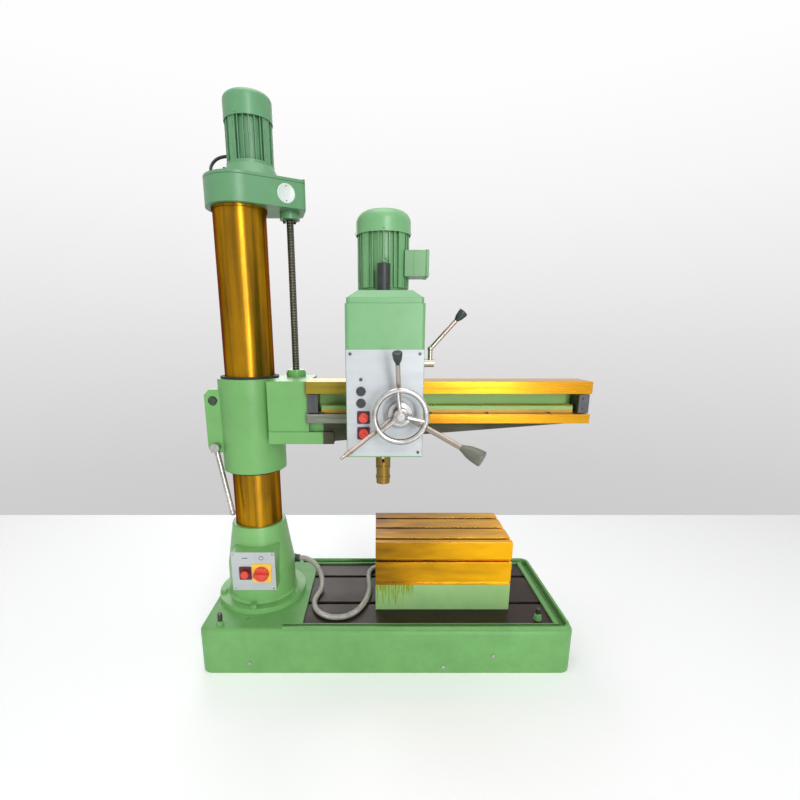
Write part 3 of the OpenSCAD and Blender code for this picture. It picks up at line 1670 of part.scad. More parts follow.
module handwheel() {
    back = way_y + rack_y + rack_w;
    color(steel) {
        translate([hub_x, wheel_y, hub_z]) rotate([90, 0, 0]) {
            rotate_extrude() translate([wheel_r - wheel_rim_r, 0]) circle(wheel_rim_r);
            for (a = spoke_turns)
                rotate(a)
                    rod_x([wheel_hub_r / 2, 0, 0], spoke_r, wheel_r - wheel_rim_r - wheel_hub_r / 2);
            translate([0, 0, -wheel_hub_l / 2]) cylinder(r = wheel_hub_r, h = wheel_hub_l);
            translate([0, 0, wheel_hub_l / 2])
                cylinder(r1 = wheel_hub_r, r2 = wheel_hub_r / 2, h = wheel_dome_l);
        }
        rod_y([hub_x, wheel_y, hub_z], wheel_shaft_r, back - wheel_y);
        translate([hub_x, back, hub_z]) rotate([90, 0, 0]) gear(rack_m, rack_teeth, rack_w, -90);
    }
}

// Push button cap with its stem through the plate
module push_button(z) {
    x = head_x + control_x;
    y = panel_y - push_ring_t - push_t;
    rod_y([x, y, head_z + z], push_r, push_t);
    rod_y([x, y, head_z + z], push_stem_r, push_t + push_ring_t + panel_t + push_stem_l / 2);
}

module raise_button() {
    color(black) push_button(raise_z);
}

module lower_button() {
    color(black) push_button(lower_z);
}

// Rotary knob with a grip bar on one of the square plates
module turn_knob(z, a) {
    x = head_x + turn_x;
    y = panel_y - turn_plate_t - slip;
    rod_y([x, y - turn_t, head_z + z], turn_r, turn_t);
    translate([x, y - turn_t + cut, head_z + z]) rotate([90, a, 0]) linear_extrude(turn_grip_t + cut)
        square([2 * turn_r - turn_grip_w / 2, turn_grip_w], center = true);
    rod_y([x, y - cut, head_z + z], knob_shaft_r, knob_shaft_l);
}

module selector_knob() {
    color(red) turn_knob(selector_z, 45);
}

module emergency_knob() {
    color(red) turn_knob(emergency_z, 45);
}

// Points of the side lever: foot, bend and end of its rod
function side_foot() = [head_x1 + side_boss_l + slip + side_hub_l - side_hub_r, side_y, side_z];
function side_bend() = side_foot() + [0, 0, side_rise];
function side_tip() = side_bend() + [side_run, 0, side_climb];

module side_lever() {
    d = (side_tip() - side_bend()) / norm(side_tip() - side_bend());
    color(steel) {
        rod_x([head_x1 + side_boss_l + slip, side_y, side_z], side_hub_r, side_hub_l);
        rod_x(
            [head_x1 - side_pin_l + slip, side_y, side_z], side_pin_r,
            side_pin_l + side_boss_l + side_hub_l / 2
        );
        bar(side_foot(), side_bend(), side_rod_r);
        translate(side_bend()) sphere(side_rod_r + side_knuckle);
        bar(side_bend(), side_tip(), side_rod_r);
        bar(side_tip() - cut * d, side_tip() + thread_l * d, thread_r);
    }
}

module side_lever_knob() {
    d = side_tip() - side_bend();
    color(black) translate(side_tip() + fit * d / norm(d)) rotate([0, atan2(side_run, side_climb), 0])
        tulip(side_knob_l, side_knob_r);
}

base_casting();
levelling_screws();
stand_screws();
column_pedestal();
pedestal_bolts();
column();
column_bearing();
work_table();
switch_plate();
isolator_plate();
isolator_knob();
stop_plate();
stop_button();
conduit();
conduit_glands();
lift_gearbox();
lift_gearbox_lid();
lift_fasteners();
lift_motor_frame();
lift_motor_cowl();
lift_motor_cable();
lift_motor_rotor();
lift_idler();
lift_screw();
arm_casting();
arm_rack();
arm_end_stops();
arm_bolts();
lift_nut();
sleeve_wipers();
clamp_lever();
head_casting();
head_cover();
head_keepers();
front_plate();
plate_screws();
control_bezels();
head_motor_frame();
head_motor_cowl();
terminal_box();
terminal_box_lid();
spindle_guard();
head_motor_rotor();
spindle_gear();
quill();
spindle_bearings();
spindle();
feed_hub();
feed_handles();
feed_knobs();
handwheel();
raise_button();
lower_button();
selector_knob();
emergency_knob();
side_lever();
side_lever_knob();
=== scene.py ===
"""Looks of a radial arm drill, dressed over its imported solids.

The frame is in metres: the origin is on the column's axis at the floor, X runs out along the
arm, Y points away from the operator and Z points up.
"""

import logging
import math
from dataclasses import dataclass, field
from enum import Enum
from functools import cache
from typing import Iterable, Mapping, Protocol, Sequence

import bmesh
import bpy
from mathutils import Matrix, Vector


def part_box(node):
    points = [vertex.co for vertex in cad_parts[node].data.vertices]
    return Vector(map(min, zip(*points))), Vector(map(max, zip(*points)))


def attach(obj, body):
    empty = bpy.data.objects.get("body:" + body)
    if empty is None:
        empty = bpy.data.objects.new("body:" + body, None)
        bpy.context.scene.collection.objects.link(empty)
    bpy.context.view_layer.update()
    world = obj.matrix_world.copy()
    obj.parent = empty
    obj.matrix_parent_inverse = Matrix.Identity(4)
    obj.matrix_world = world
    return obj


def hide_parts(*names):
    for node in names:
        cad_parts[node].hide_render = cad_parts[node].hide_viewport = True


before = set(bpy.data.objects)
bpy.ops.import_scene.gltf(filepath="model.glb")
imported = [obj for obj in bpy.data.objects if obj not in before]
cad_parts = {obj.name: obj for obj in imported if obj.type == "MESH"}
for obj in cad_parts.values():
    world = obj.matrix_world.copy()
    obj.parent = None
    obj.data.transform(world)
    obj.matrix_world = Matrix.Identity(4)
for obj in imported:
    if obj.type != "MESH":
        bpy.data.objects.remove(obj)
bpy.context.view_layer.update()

LOG = logging.getLogger("radial_arm_drill")
IMAGE_SIDE = 800
UP = Vector((0.0, 0.0, 1.0))
Colour = tuple[float, float, float]
Point = tuple[float, float, float]
Span = tuple[float, float]
Spot = tuple[Point, Point]
Socket = bpy.types.NodeSocket
EVEN: Point = (1.0, 1.0, 1.0)


class Calc(Enum):
    """Sums that a graph can make."""

    ADD = "ADD"
    TAKE = "SUBTRACT"
    TIMES = "MULTIPLY"
    PART = "DIVIDE"
    LEAST = "MINIMUM"
    MOST = "MAXIMUM"


class Effect(Enum):
    """Surface effects that several finishes share."""

    EDGE = "edge_wear"
    GRAIN = "grain"
    GRIME = "grime"
    ZONE = "zone"
    GAP_SHADE = "crevice"


class ScrewKind(Enum):
    """Screw heads that are set in rows."""

    PAN = "pan"
    CAP = "cap"
    RIVET = "rivet"


def linear(colour: Colour) -> tuple[float, float, float, float]:
    """Turns a colour as it is seen on screen into Blender's linear values.

    Args:
        colour: red, green and blue from 0 to 255.

    Returns:
        Linear red, green, blue and an alpha of 1.
    """
    shares = [c / 255 for c in colour]
    r, g, b = (s / 12.92 if s <= 0.04045 else ((s + 0.055) / 1.055) ** 2.4 for s in shares)
    return r, g, b, 1.0


class Graph:
    """A node tree with short calls for adding and joining nodes."""

    def __init__(self, tree: bpy.types.NodeTree) -> None:
        """Keeps the tree that the calls work on."""
        self.tree = tree

    @classmethod
    def group(cls, name: str, kind: str, inputs: dict[str, str], outputs: dict[str, str]) -> "Graph":
        """Starts a node group with named sockets.

        Args:
            name: the group's name.
            kind: the tree's type name.
            inputs: socket type of each input.
            outputs: socket type of each output.

        Returns:
            The group's graph.
        """
        tree = bpy.data.node_groups.new(name, kind)
        for way, wanted in (("INPUT", inputs), ("OUTPUT", outputs)):
            for socket, sort in wanted.items():
                tree.interface.new_socket(socket, in_out=way, socket_type=f"NodeSocket{sort}")
        return cls(tree)

    def feed(self, socket: Socket, value: object) -> None:
        """Links a socket into another one, or sets its constant.

        Args:
            socket: the input to feed.
            value: an output socket, or a constant.
        """
        if isinstance(value, bpy.types.NodeSocket):
            self.tree.links.new(value, socket)
        else:
            socket.default_value = value

    def add(self, kind: str, inputs: dict | None = None, **settings: object) -> bpy.types.Node:
        """Adds one node.

        Args:
            kind: the node's type name.
            inputs: values or sockets for its inputs, by name or number.
            settings: the node's own options.

        Returns:
            The new node.
        """
        node = self.tree.nodes.new(kind)
        for name, value in settings.items():
            setattr(node, name, value)
        for key, value in (inputs or {}).items():
            self.feed(node.inputs[key], value)
        return node

    def calc(self, how: Calc, a: object, b: object, clamp: bool = False) -> Socket:
        """Works out one sum of two values, held from 0 to 1 if clamp is set; returns its socket."""
        node = self.add("ShaderNodeMath", {0: a, 1: b}, operation=how.value, use_clamp=clamp)
        return node.outputs[0]

    def mix(self, share: object, a: object, b: object) -> Socket:
        """Mixes two colours, with share as b's part from 0 to 1; returns the result's socket."""
        return self.add("ShaderNodeMix", {0: share, 6: a, 7: b}, data_type="RGBA").outputs[2]

    def span(self, value: Socket, low: float, high: float, start: float = 0.0, end: float = 1.0) -> Socket:
        """Maps a value from low and high to start and end and holds it there; returns its socket."""
        inputs = {"Value": value, "From Min": low, "From Max": high, "To Min": start, "To Max": end}
        return self.add("ShaderNodeMapRange", inputs).outputs["Result"]

    def place(self) -> Socket:
        """Returns the point on the surface, in the part's own frame."""
        return self.add("ShaderNodeTexCoord").outputs["Object"]

    def noise(self, at: Socket, scale: object, detail: float = 4.0, rough: float = 0.55) -> Socket:
        """Adds a cloudy noise, scale clouds to a metre with finer layers on them; returns its value."""
        inputs = {"Vector": at, "Scale": scale, "Detail": detail, "Roughness": rough}
        return self.add("ShaderNodeTexNoise", inputs).outputs["Fac"]

    def vector(self, how: Calc, a: object, b: object) -> Socket:
        """Works out one sum of two vectors, axis by axis; returns its socket."""
        return self.add("ShaderNodeVectorMath", {0: a, 1: b}, operation=how.value).outputs[0]

    def dot(self, a: object, b: object) -> Socket:
        """Multiplies two vectors into one value; returns its socket."""
        return self.add("ShaderNodeVectorMath", {0: a, 1: b}, operation="DOT_PRODUCT").outputs["Value"]

    def axes(self, at: Socket) -> Mapping[str, Socket]:
        """Returns a point's three axes by name."""
        return self.add("ShaderNodeSeparateXYZ", {0: at}).outputs

    def sine(self, turn: Socket) -> Socket:
        """Returns the sine of an angle in radians."""
        return self.add("ShaderNodeMath", {0: turn}, operation="SINE").outputs[0]

    def bump(self, height: Socket, strength: float, depth: float, over: Socket | None = None) -> Socket:
        """Raises a surface by a height.

        Args:
            height: the height.
            strength: how much of it shows.
            depth: relief in metres at a height of 1.
            over: normal that it is laid over, or None for the mesh's own.

        Returns:
            The new normal's socket.
        """
        inputs = {"Strength": strength, "Distance": depth, "Height": height}
        if over is not None:
            inputs["Normal"] = over
        return self.add("ShaderNodeBump", inputs).outputs[0]

    def dress(self, shader: bpy.types.Node, colour: Socket, rough: Socket, normal: Socket) -> None:
        """Feeds a shader's colour, roughness and normal."""
        for name, value in (("Base Color", colour), ("Roughness", rough), ("Normal", normal)):
            self.feed(shader.inputs[name], value)


class EffectKit:
    """Builds each shared surface effect once, as a shader node group."""

    @cache
    def get(self, effect: Effect) -> bpy.types.NodeTree:
        """Returns the group of an effect, building it on first use."""
        return getattr(self, f"build_{effect.value}")(effect.value)

    def use(self, graph: Graph, effect: Effect, **inputs: object) -> bpy.types.Node:
        """Places an effect in a material, with its named inputs; returns the group's node."""
        return graph.add("ShaderNodeGroup", inputs, node_tree=self.get(effect))

    def mask(self, graph: Graph, effect: Effect, **inputs: object) -> Socket:
        """Places an effect in a material; returns its mask."""
        return self.use(graph, effect, **inputs).outputs["Mask"]

    def grain(self, graph: Graph, scale: float, detail: float, stretch: Point = EVEN) -> Socket:
        """Places a grain in a material; returns its value."""
        grain = self.use(graph, Effect.GRAIN, Stretch=stretch, Scale=scale, Detail=detail)
        return grain.outputs["Value"]

    @staticmethod
    def start(
        name: str, inputs: dict[str, str], outputs: dict[str, str]
    ) -> tuple[Graph, Mapping[str, Socket], Mapping[str, Socket]]:
        """Makes an empty group; returns its graph, its given values and its results' sockets."""
        g = Graph.group(name, "ShaderNodeTree", inputs, outputs)
        return g, g.add("NodeGroupInput").outputs, g.add("NodeGroupOutput").inputs

    def build_edge_wear(self, name: str) -> bpy.types.NodeTree:
        """Softens edges and finds patches along them, where paint is worn and where a painted highlight goes.

        Args:
            name: the group's name.

        Returns:
            The group.
        """
        g, given, out = self.start(
            name, {"Radius": "Float", "Scale": "Float"}, {"Mask": "Float", "Normal": "Vector"}
        )
        soft = g.add("ShaderNodeBevel", {"Radius": given["Radius"]}, samples=6).outputs[0]
        flat = g.add("ShaderNodeNewGeometry").outputs["True Normal"]
        bend = g.span(g.dot(soft, flat), 0.985, 0.80)
        patch = g.span(g.noise(g.place(), given["Scale"], 5.0, 0.65), 0.47, 0.62)
        g.feed(out["Mask"], g.calc(Calc.TIMES, bend, patch))
        g.feed(out["Normal"], soft)
        return g.tree

    def build_grain(self, name: str) -> bpy.types.NodeTree:
        """Draws out a noise for brushed, ground or cast surfaces.

        Args:
            name: the group's name.

        Returns:
            The group.
        """
        g, given, out = self.start(
            name, {"Stretch": "Vector", "Scale": "Float", "Detail": "Float"}, {"Value": "Float"}
        )
        at = g.vector(Calc.TIMES, g.place(), given["Stretch"])
        g.feed(out["Value"], g.noise(at, given["Scale"], given["Detail"]))
        return g.tree

    def build_grime(self, name: str) -> bpy.types.NodeTree:
        """Lays blotches of handling dirt, thicker towards the floor.

        Args:
            name: the group's name.

        Returns:
            The group.
        """
        g, given, out = self.start(
            name, {"Scale": "Float", "Amount": "Float", "Foot": "Float"}, {"Mask": "Float"}
        )
        at = g.place()
        cloud = g.noise(at, given["Scale"], 6.0, 0.7)
        height = g.calc(Calc.PART, g.axes(at)["Z"], given["Foot"], clamp=True)
        low = g.calc(Calc.TAKE, 1.0, height)
        raised = g.calc(Calc.ADD, cloud, g.calc(Calc.TIMES, low, 0.16))
        g.feed(out["Mask"], g.calc(Calc.TIMES, g.span(raised, 0.5, 0.82), given["Amount"]))
        return g.tree

    def build_zone(self, name: str) -> bpy.types.NodeTree:
        """Finds the points between two corners of a box.

        Args:
            name: the group's name.

        Returns:
            The group.
        """
        g, given, out = self.start(
            name, {"Low": "Vector", "High": "Vector", "Soft": "Float"}, {"Mask": "Float"}
        )
        at = g.place()
        above = g.vector(Calc.TAKE, at, given["Low"])
        below = g.vector(Calc.TAKE, given["High"], at)
        inside = g.axes(g.vector(Calc.LEAST, above, below))
        depth = g.calc(Calc.LEAST, g.calc(Calc.LEAST, inside["X"], inside["Y"]), inside["Z"])
        share = g.calc(Calc.PART, depth, given["Soft"])
        g.feed(out["Mask"], g.calc(Calc.ADD, share, 0.5, clamp=True))
        return g.tree

    def build_crevice(self, name: str) -> bpy.types.NodeTree:
        """Finds the narrow gaps and corners of a piece by ambient occlusion, where painted shade darkens the
        paint.

        Args:
            name: the group's name.

        Returns:
            The group.
        """
        g, given, out = self.start(name, {"Reach": "Float", "Amount": "Float"}, {"Mask": "Float"})
        clear = g.add(
            "ShaderNodeAmbientOcclusion", {"Distance": given["Reach"]}, samples=5, only_local=True,
        ).outputs["AO"]
        g.feed(out["Mask"], g.calc(Calc.TIMES, g.span(clear, 0.8, 0.25), given["Amount"]))
        return g.tree


EFFECTS = EffectKit()


class Finish(Protocol):
    """A surface finish that can make its own material."""

    name: str

    def material(self) -> bpy.types.Material:
        """Returns the finish's material."""


def blank_material(name: str) -> tuple[bpy.types.Material, Graph, bpy.types.Node]:
    """Makes a material with only its shader and output.

    Args:
        name: the material's name.

    Returns:
        The material, its graph and its Principled node.
    """
    material = bpy.data.materials.new(name)
    material.use_nodes = True
    material.node_tree.nodes.clear()
    graph = Graph(material.node_tree)
    shader = graph.add("ShaderNodeBsdfPrincipled")
    graph.add("ShaderNodeOutputMaterial", {"Surface": shader.outputs[0]})
    return material, graph, shader


@dataclass(frozen=True)
class Zone:
    """A boxed part of a casting with a finish of its own."""

    low: Point
    high: Point
    light: Colour
    dark: Colour
    metallic: float
    roughness: float
    streak: Point = (4.0, 60.0, 60.0)
    scale: float = 6.0
    soft: float = 0.0012
    # painted_light_lean and level tilt the zone's colour across the part: painted light and shade.
    painted_light_lean: Point = (0.0, 0.0, 0.0)
    level: float = 0.0
    detail: float = 4.0
    spread: tuple[float, float] = (0.36, 0.66)
    # highlight: colour of the painted highlight along the zone's edges.
    bright: Colour | None = None


@dataclass(frozen=True)
class Paint:
    """Machine paint over cast iron, with machined zones and oil runs where a casting has them."""

    name: str
    colour: Colour
    shade: Colour
    # edge_highlight and edge_highlight_share set the lighter paint along edges: a painted highlight.
    edge_highlight: Colour = (160, 208, 150)
    dirt: Colour = (96, 112, 80)
    # gap_shade_colour, crevice and reach set the painted shade in narrow gaps and corners.
    gap_shade_colour: Colour = (44, 78, 48)
    roughness: float = 0.34
    edge: float = 0.0025
    edge_highlight_share: float = 0.3
    grime: float = 0.12
    cast: float = 0.35
    crevice: float = 0.6
    reach: float = 0.03
    gloss: float = 0.5
    zones: tuple[Zone, ...] = ()
    runs: Zone | None = None

    cloud_grain: Span = (3.5, 5.0)
    cast_grain: Span = (260.0, 3.0)
    wave_grain: Span = (22.0, 2.0)
    # zone_highlight_share: how much of a zone's painted edge highlight shows.
    zone_highlight_share: float = 0.6
    zone_relief: float = 0.12
    run_cover: float = 0.92

    def material(self) -> bpy.types.Material:
        """Makes the paint, with its zones and runs.

        Returns:
            The material.
        """
        material, g, shader = blank_material(self.name)
        cloud = EFFECTS.grain(g, *self.cloud_grain)
        cast = EFFECTS.grain(g, *self.cast_grain)
        wave = EFFECTS.grain(g, *self.wave_grain)
        dirt = EFFECTS.mask(g, Effect.GRIME, Scale=14.0, Amount=self.grime, Foot=0.35)
        # Painted shade: the paint darkens in narrow gaps and corners.
        shaded_gaps = EFFECTS.mask(g, Effect.GAP_SHADE, Reach=self.reach, Amount=self.crevice)
        edge = EFFECTS.use(g, Effect.EDGE, Radius=self.edge, Scale=55.0).outputs
        # Lighter paint along edges: a painted highlight.
        highlit_edges = g.calc(Calc.TIMES, edge["Mask"], self.edge_highlight_share)
        colour = g.mix(g.span(cloud, 0.35, 0.7), linear(self.colour), linear(self.shade))
        for share, over in ((dirt, self.dirt), (shaded_gaps, self.gap_shade_colour), (highlit_edges, self.edge_highlight)):
            colour = g.mix(share, colour, linear(over))
        if self.runs is not None:
            colour = self.oil_runs(g, self.runs, colour)
        rough = g.span(cloud, 0.2, 0.8, self.roughness - 0.06, self.roughness + 0.10)
        height = g.calc(Calc.ADD, g.calc(Calc.TIMES, cast, self.cast), wave)
        metal: object = 0.0
        cover: object = 0.0
        for zone in self.zones:
            mask, colour, rough = self.machined(g, zone, edge["Mask"], colour, rough)
            cover = g.calc(Calc.MOST, cover, mask)
            metal = g.calc(Calc.MOST, metal, g.calc(Calc.TIMES, mask, zone.metallic))
        if self.zones:
            height = g.calc(Calc.TIMES, height, g.span(cover, 0.0, 1.0, 1.0, self.zone_relief))
            g.feed(shader.inputs["Metallic"], metal)
        g.dress(shader, colour, rough, g.bump(height, strength=0.35, depth=0.0006, over=edge["Normal"]))
        shader.inputs["Specular IOR Level"].default_value = self.gloss
        return material

    def machined(
        self, g: Graph, zone: Zone, worn: Socket, colour: Socket, rough: Socket
    ) -> tuple[Socket, Socket, Socket]:
        """Lays one zone's finish over the paint.

        Args:
            g: the material's graph.
            zone: the zone.
            worn: mask of the worn edges, where the zone's painted highlight goes.
            colour: the colour so far.
            rough: the roughness so far.

        Returns:
            The zone's mask, and the colour and roughness with the zone on them.
        """
        mask = EFFECTS.mask(g, Effect.ZONE, Low=zone.low, High=zone.high, Soft=zone.soft)
        streak = EFFECTS.grain(g, zone.scale, zone.detail, zone.streak)
        # A painted gradient of light and shade across the zone.
        if any(zone.painted_light_lean):
            painted_light_drift = g.calc(Calc.ADD, g.dot(g.place(), zone.painted_light_lean), zone.level)
            streak = g.calc(Calc.ADD, streak, painted_light_drift)
        face = g.mix(g.span(streak, *zone.spread), linear(zone.light), linear(zone.dark))
        # Pale colour along machined edges: a painted highlight.
        if zone.bright is not None:
            face = g.mix(g.calc(Calc.TIMES, worn, self.zone_highlight_share), face, linear(zone.bright))
        gloss = g.span(streak, 0.3, 0.7, zone.roughness - 0.05, zone.roughness + 0.09)
        blend = g.add("ShaderNodeMix", {0: mask, 2: rough, 3: gloss}, data_type="FLOAT")
        return mask, g.mix(mask, colour, face), blend.outputs[0]

    def oil_runs(self, g: Graph, runs: Zone, colour: Socket) -> Socket:
        """Lets amber oil run down from the upper edge of the runs' box.

        Args:
            g: the material's graph.
            runs: the box and colour of the runs.
            colour: the paint's colour so far.

        Returns:
            The colour with the runs on it.
        """
        at = g.place()
        fall = g.span(g.axes(at)["Z"], runs.low[2], runs.high[2], 0.36, 0.56)
        drawn = g.noise(g.vector(Calc.TIMES, at, runs.streak), runs.scale, 3.0, 0.6)
        over = g.calc(Calc.TAKE, drawn, g.calc(Calc.TAKE, 0.96, fall))
        mask = EFFECTS.mask(g, Effect.ZONE, Low=runs.low, High=runs.high, Soft=runs.soft)
        share = g.calc(Calc.TIMES, g.span(over, 0.0, 0.05), mask)
        return g.mix(g.calc(Calc.TIMES, share, self.run_cover), colour, linear(runs.light))


@dataclass(frozen=True)
class Metal:
    """Bare, oiled or blackened metal with a drawn grain."""

    name: str
    light: Colour
    dark: Colour
    roughness: float
    stretch: Point = (1.0, 1.0, 40.0)
    scale: float = 30.0
    metallic: float = 1.0
    stain: Colour = (70, 60, 50)
    stained: float = 0.2
    edge: float = 0.0012
    ground: float = 0.0
    ground_turn: float = 0.25
    rim: Colour = (255, 255, 255)
    pitch: float = 0.0

    def material(self) -> bpy.types.Material:
        """Makes the metal, with its grain and stains.

        Returns:
            The material.
        """
        material, g, shader = blank_material(self.name)
        grain = EFFECTS.grain(g, self.scale, 6.0, self.stretch)
        cloud = EFFECTS.grain(g, 7.0, 5.0, (1.0, 1.0, 0.35))
        dirt = EFFECTS.mask(g, Effect.GRIME, Scale=18.0, Amount=self.stained, Foot=0.1)
        edge = EFFECTS.use(g, Effect.EDGE, Radius=self.edge, Scale=80.0).outputs
        blend = g.calc(Calc.ADD, g.calc(Calc.TIMES, grain, 0.5), g.calc(Calc.TIMES, cloud, 0.5))
        colour = g.mix(g.span(blend, 0.38, 0.64), linear(self.light), linear(self.dark))
        colour = g.mix(dirt, colour, linear(self.stain))
        normal = g.bump(grain, strength=0.12, depth=0.0002, over=edge["Normal"])
        if self.pitch:
            thread = g.sine(g.calc(Calc.TIMES, g.axes(g.place())["Z"], math.tau / self.pitch))
            # The thread's grooves are darkened with the stain colour: painted shade.
            colour = g.mix(g.span(thread, -1.0, 0.0, 0.5, 0.0), colour, linear(self.stain))
            normal = g.bump(thread, strength=0.8, depth=0.0012, over=normal)
        rough = g.span(blend, 0.3, 0.7, self.roughness - 0.05, self.roughness + 0.08)
        g.dress(shader, colour, rough, normal)
        shader.inputs["Metallic"].default_value = self.metallic
        shader.inputs["Specular Tint"].default_value = linear(self.rim)
        shader.inputs["Anisotropic"].default_value = self.ground
        shader.inputs["Anisotropic Rotation"].default_value = self.ground_turn if self.ground else 0.0
        return material


@dataclass(frozen=True)
class Moulded:
    """Moulded plastic or rubber with a fine skin and handled edges."""

    name: str
    colour: Colour
    worn: Colour
    roughness: float = 0.4
    skin: float = 420.0
    relief: float = 0.2
    edge: float = 0.0010

    def material(self) -> bpy.types.Material:
        """Makes the plastic, with its skin and handled edges.

        Returns:
            The material.
        """
        material, g, shader = blank_material(self.name)
        skin = EFFECTS.grain(g, self.skin, 3.0)
        cloud = EFFECTS.grain(g, 30.0, 4.0)
        edge = EFFECTS.use(g, Effect.EDGE, Radius=self.edge, Scale=120.0).outputs
        touched = g.calc(Calc.MOST, g.span(cloud, 0.5, 0.85, 0.0, 0.5), edge["Mask"])
        colour = g.mix(touched, linear(self.colour), linear(self.worn))
        rough = g.span(cloud, 0.3, 0.7, self.roughness - 0.06, self.roughness + 0.12)
        normal = g.bump(skin, self.relief, depth=0.0003, over=edge["Normal"])
        g.dress(shader, colour, rough, normal)
        return material


@dataclass(frozen=True)
class Hose:
    """Skin of a round cord, with rings or a plain sheath along its own map."""

    name: str
    colour: Colour
    dirt: Colour
    rings: float = 0.0
    roughness: float = 0.45
    metallic: float = 0.0

    def material(self) -> bpy.types.Material:
        """Makes the cord's skin, with its rings, painted shade in their grooves, and dirt.

        Returns:
            The material.
        """
        material, g, shader = blank_material(self.name)
        along = g.axes(g.add("ShaderNodeTexCoord").outputs["UV"])["Y"]
        ring = g.sine(g.calc(Calc.TIMES, along, self.rings * math.tau))
        dirt = EFFECTS.mask(g, Effect.GRIME, Scale=24.0, Amount=0.7, Foot=0.3)
        # The grooves between the rings are darkened: painted shade.
        groove_shade = g.span(ring, -1.0, -0.4, 0.35 if self.rings else 0.0, 0.0)
        colour = g.mix(g.calc(Calc.MOST, dirt, groove_shade), linear(self.colour), linear(self.dirt))
        rough = g.span(dirt, 0.0, 1.0, self.roughness, self.roughness + 0.25)
        g.dress(shader, colour, rough, g.bump(ring, strength=0.6, depth=0.0008))
        shader.inputs["Metallic"].default_value = self.metallic
        return material


GREEN: Colour = (124, 184, 110)
GREEN_SHADE: Colour = (116, 174, 103)
HEAD_GREEN: Colour = (124, 182, 126)
LIFT_GREEN: Colour = (104, 161, 114)
LIFT_SHADE: Colour = (96, 150, 104)
AMBER: Colour = (206, 150, 8)
AMBER_DEEP: Colour = (190, 128, 8)
# Pale amber painted along machined edges as a highlight.
EDGE_HIGHLIGHT: Colour = (255, 226, 140)


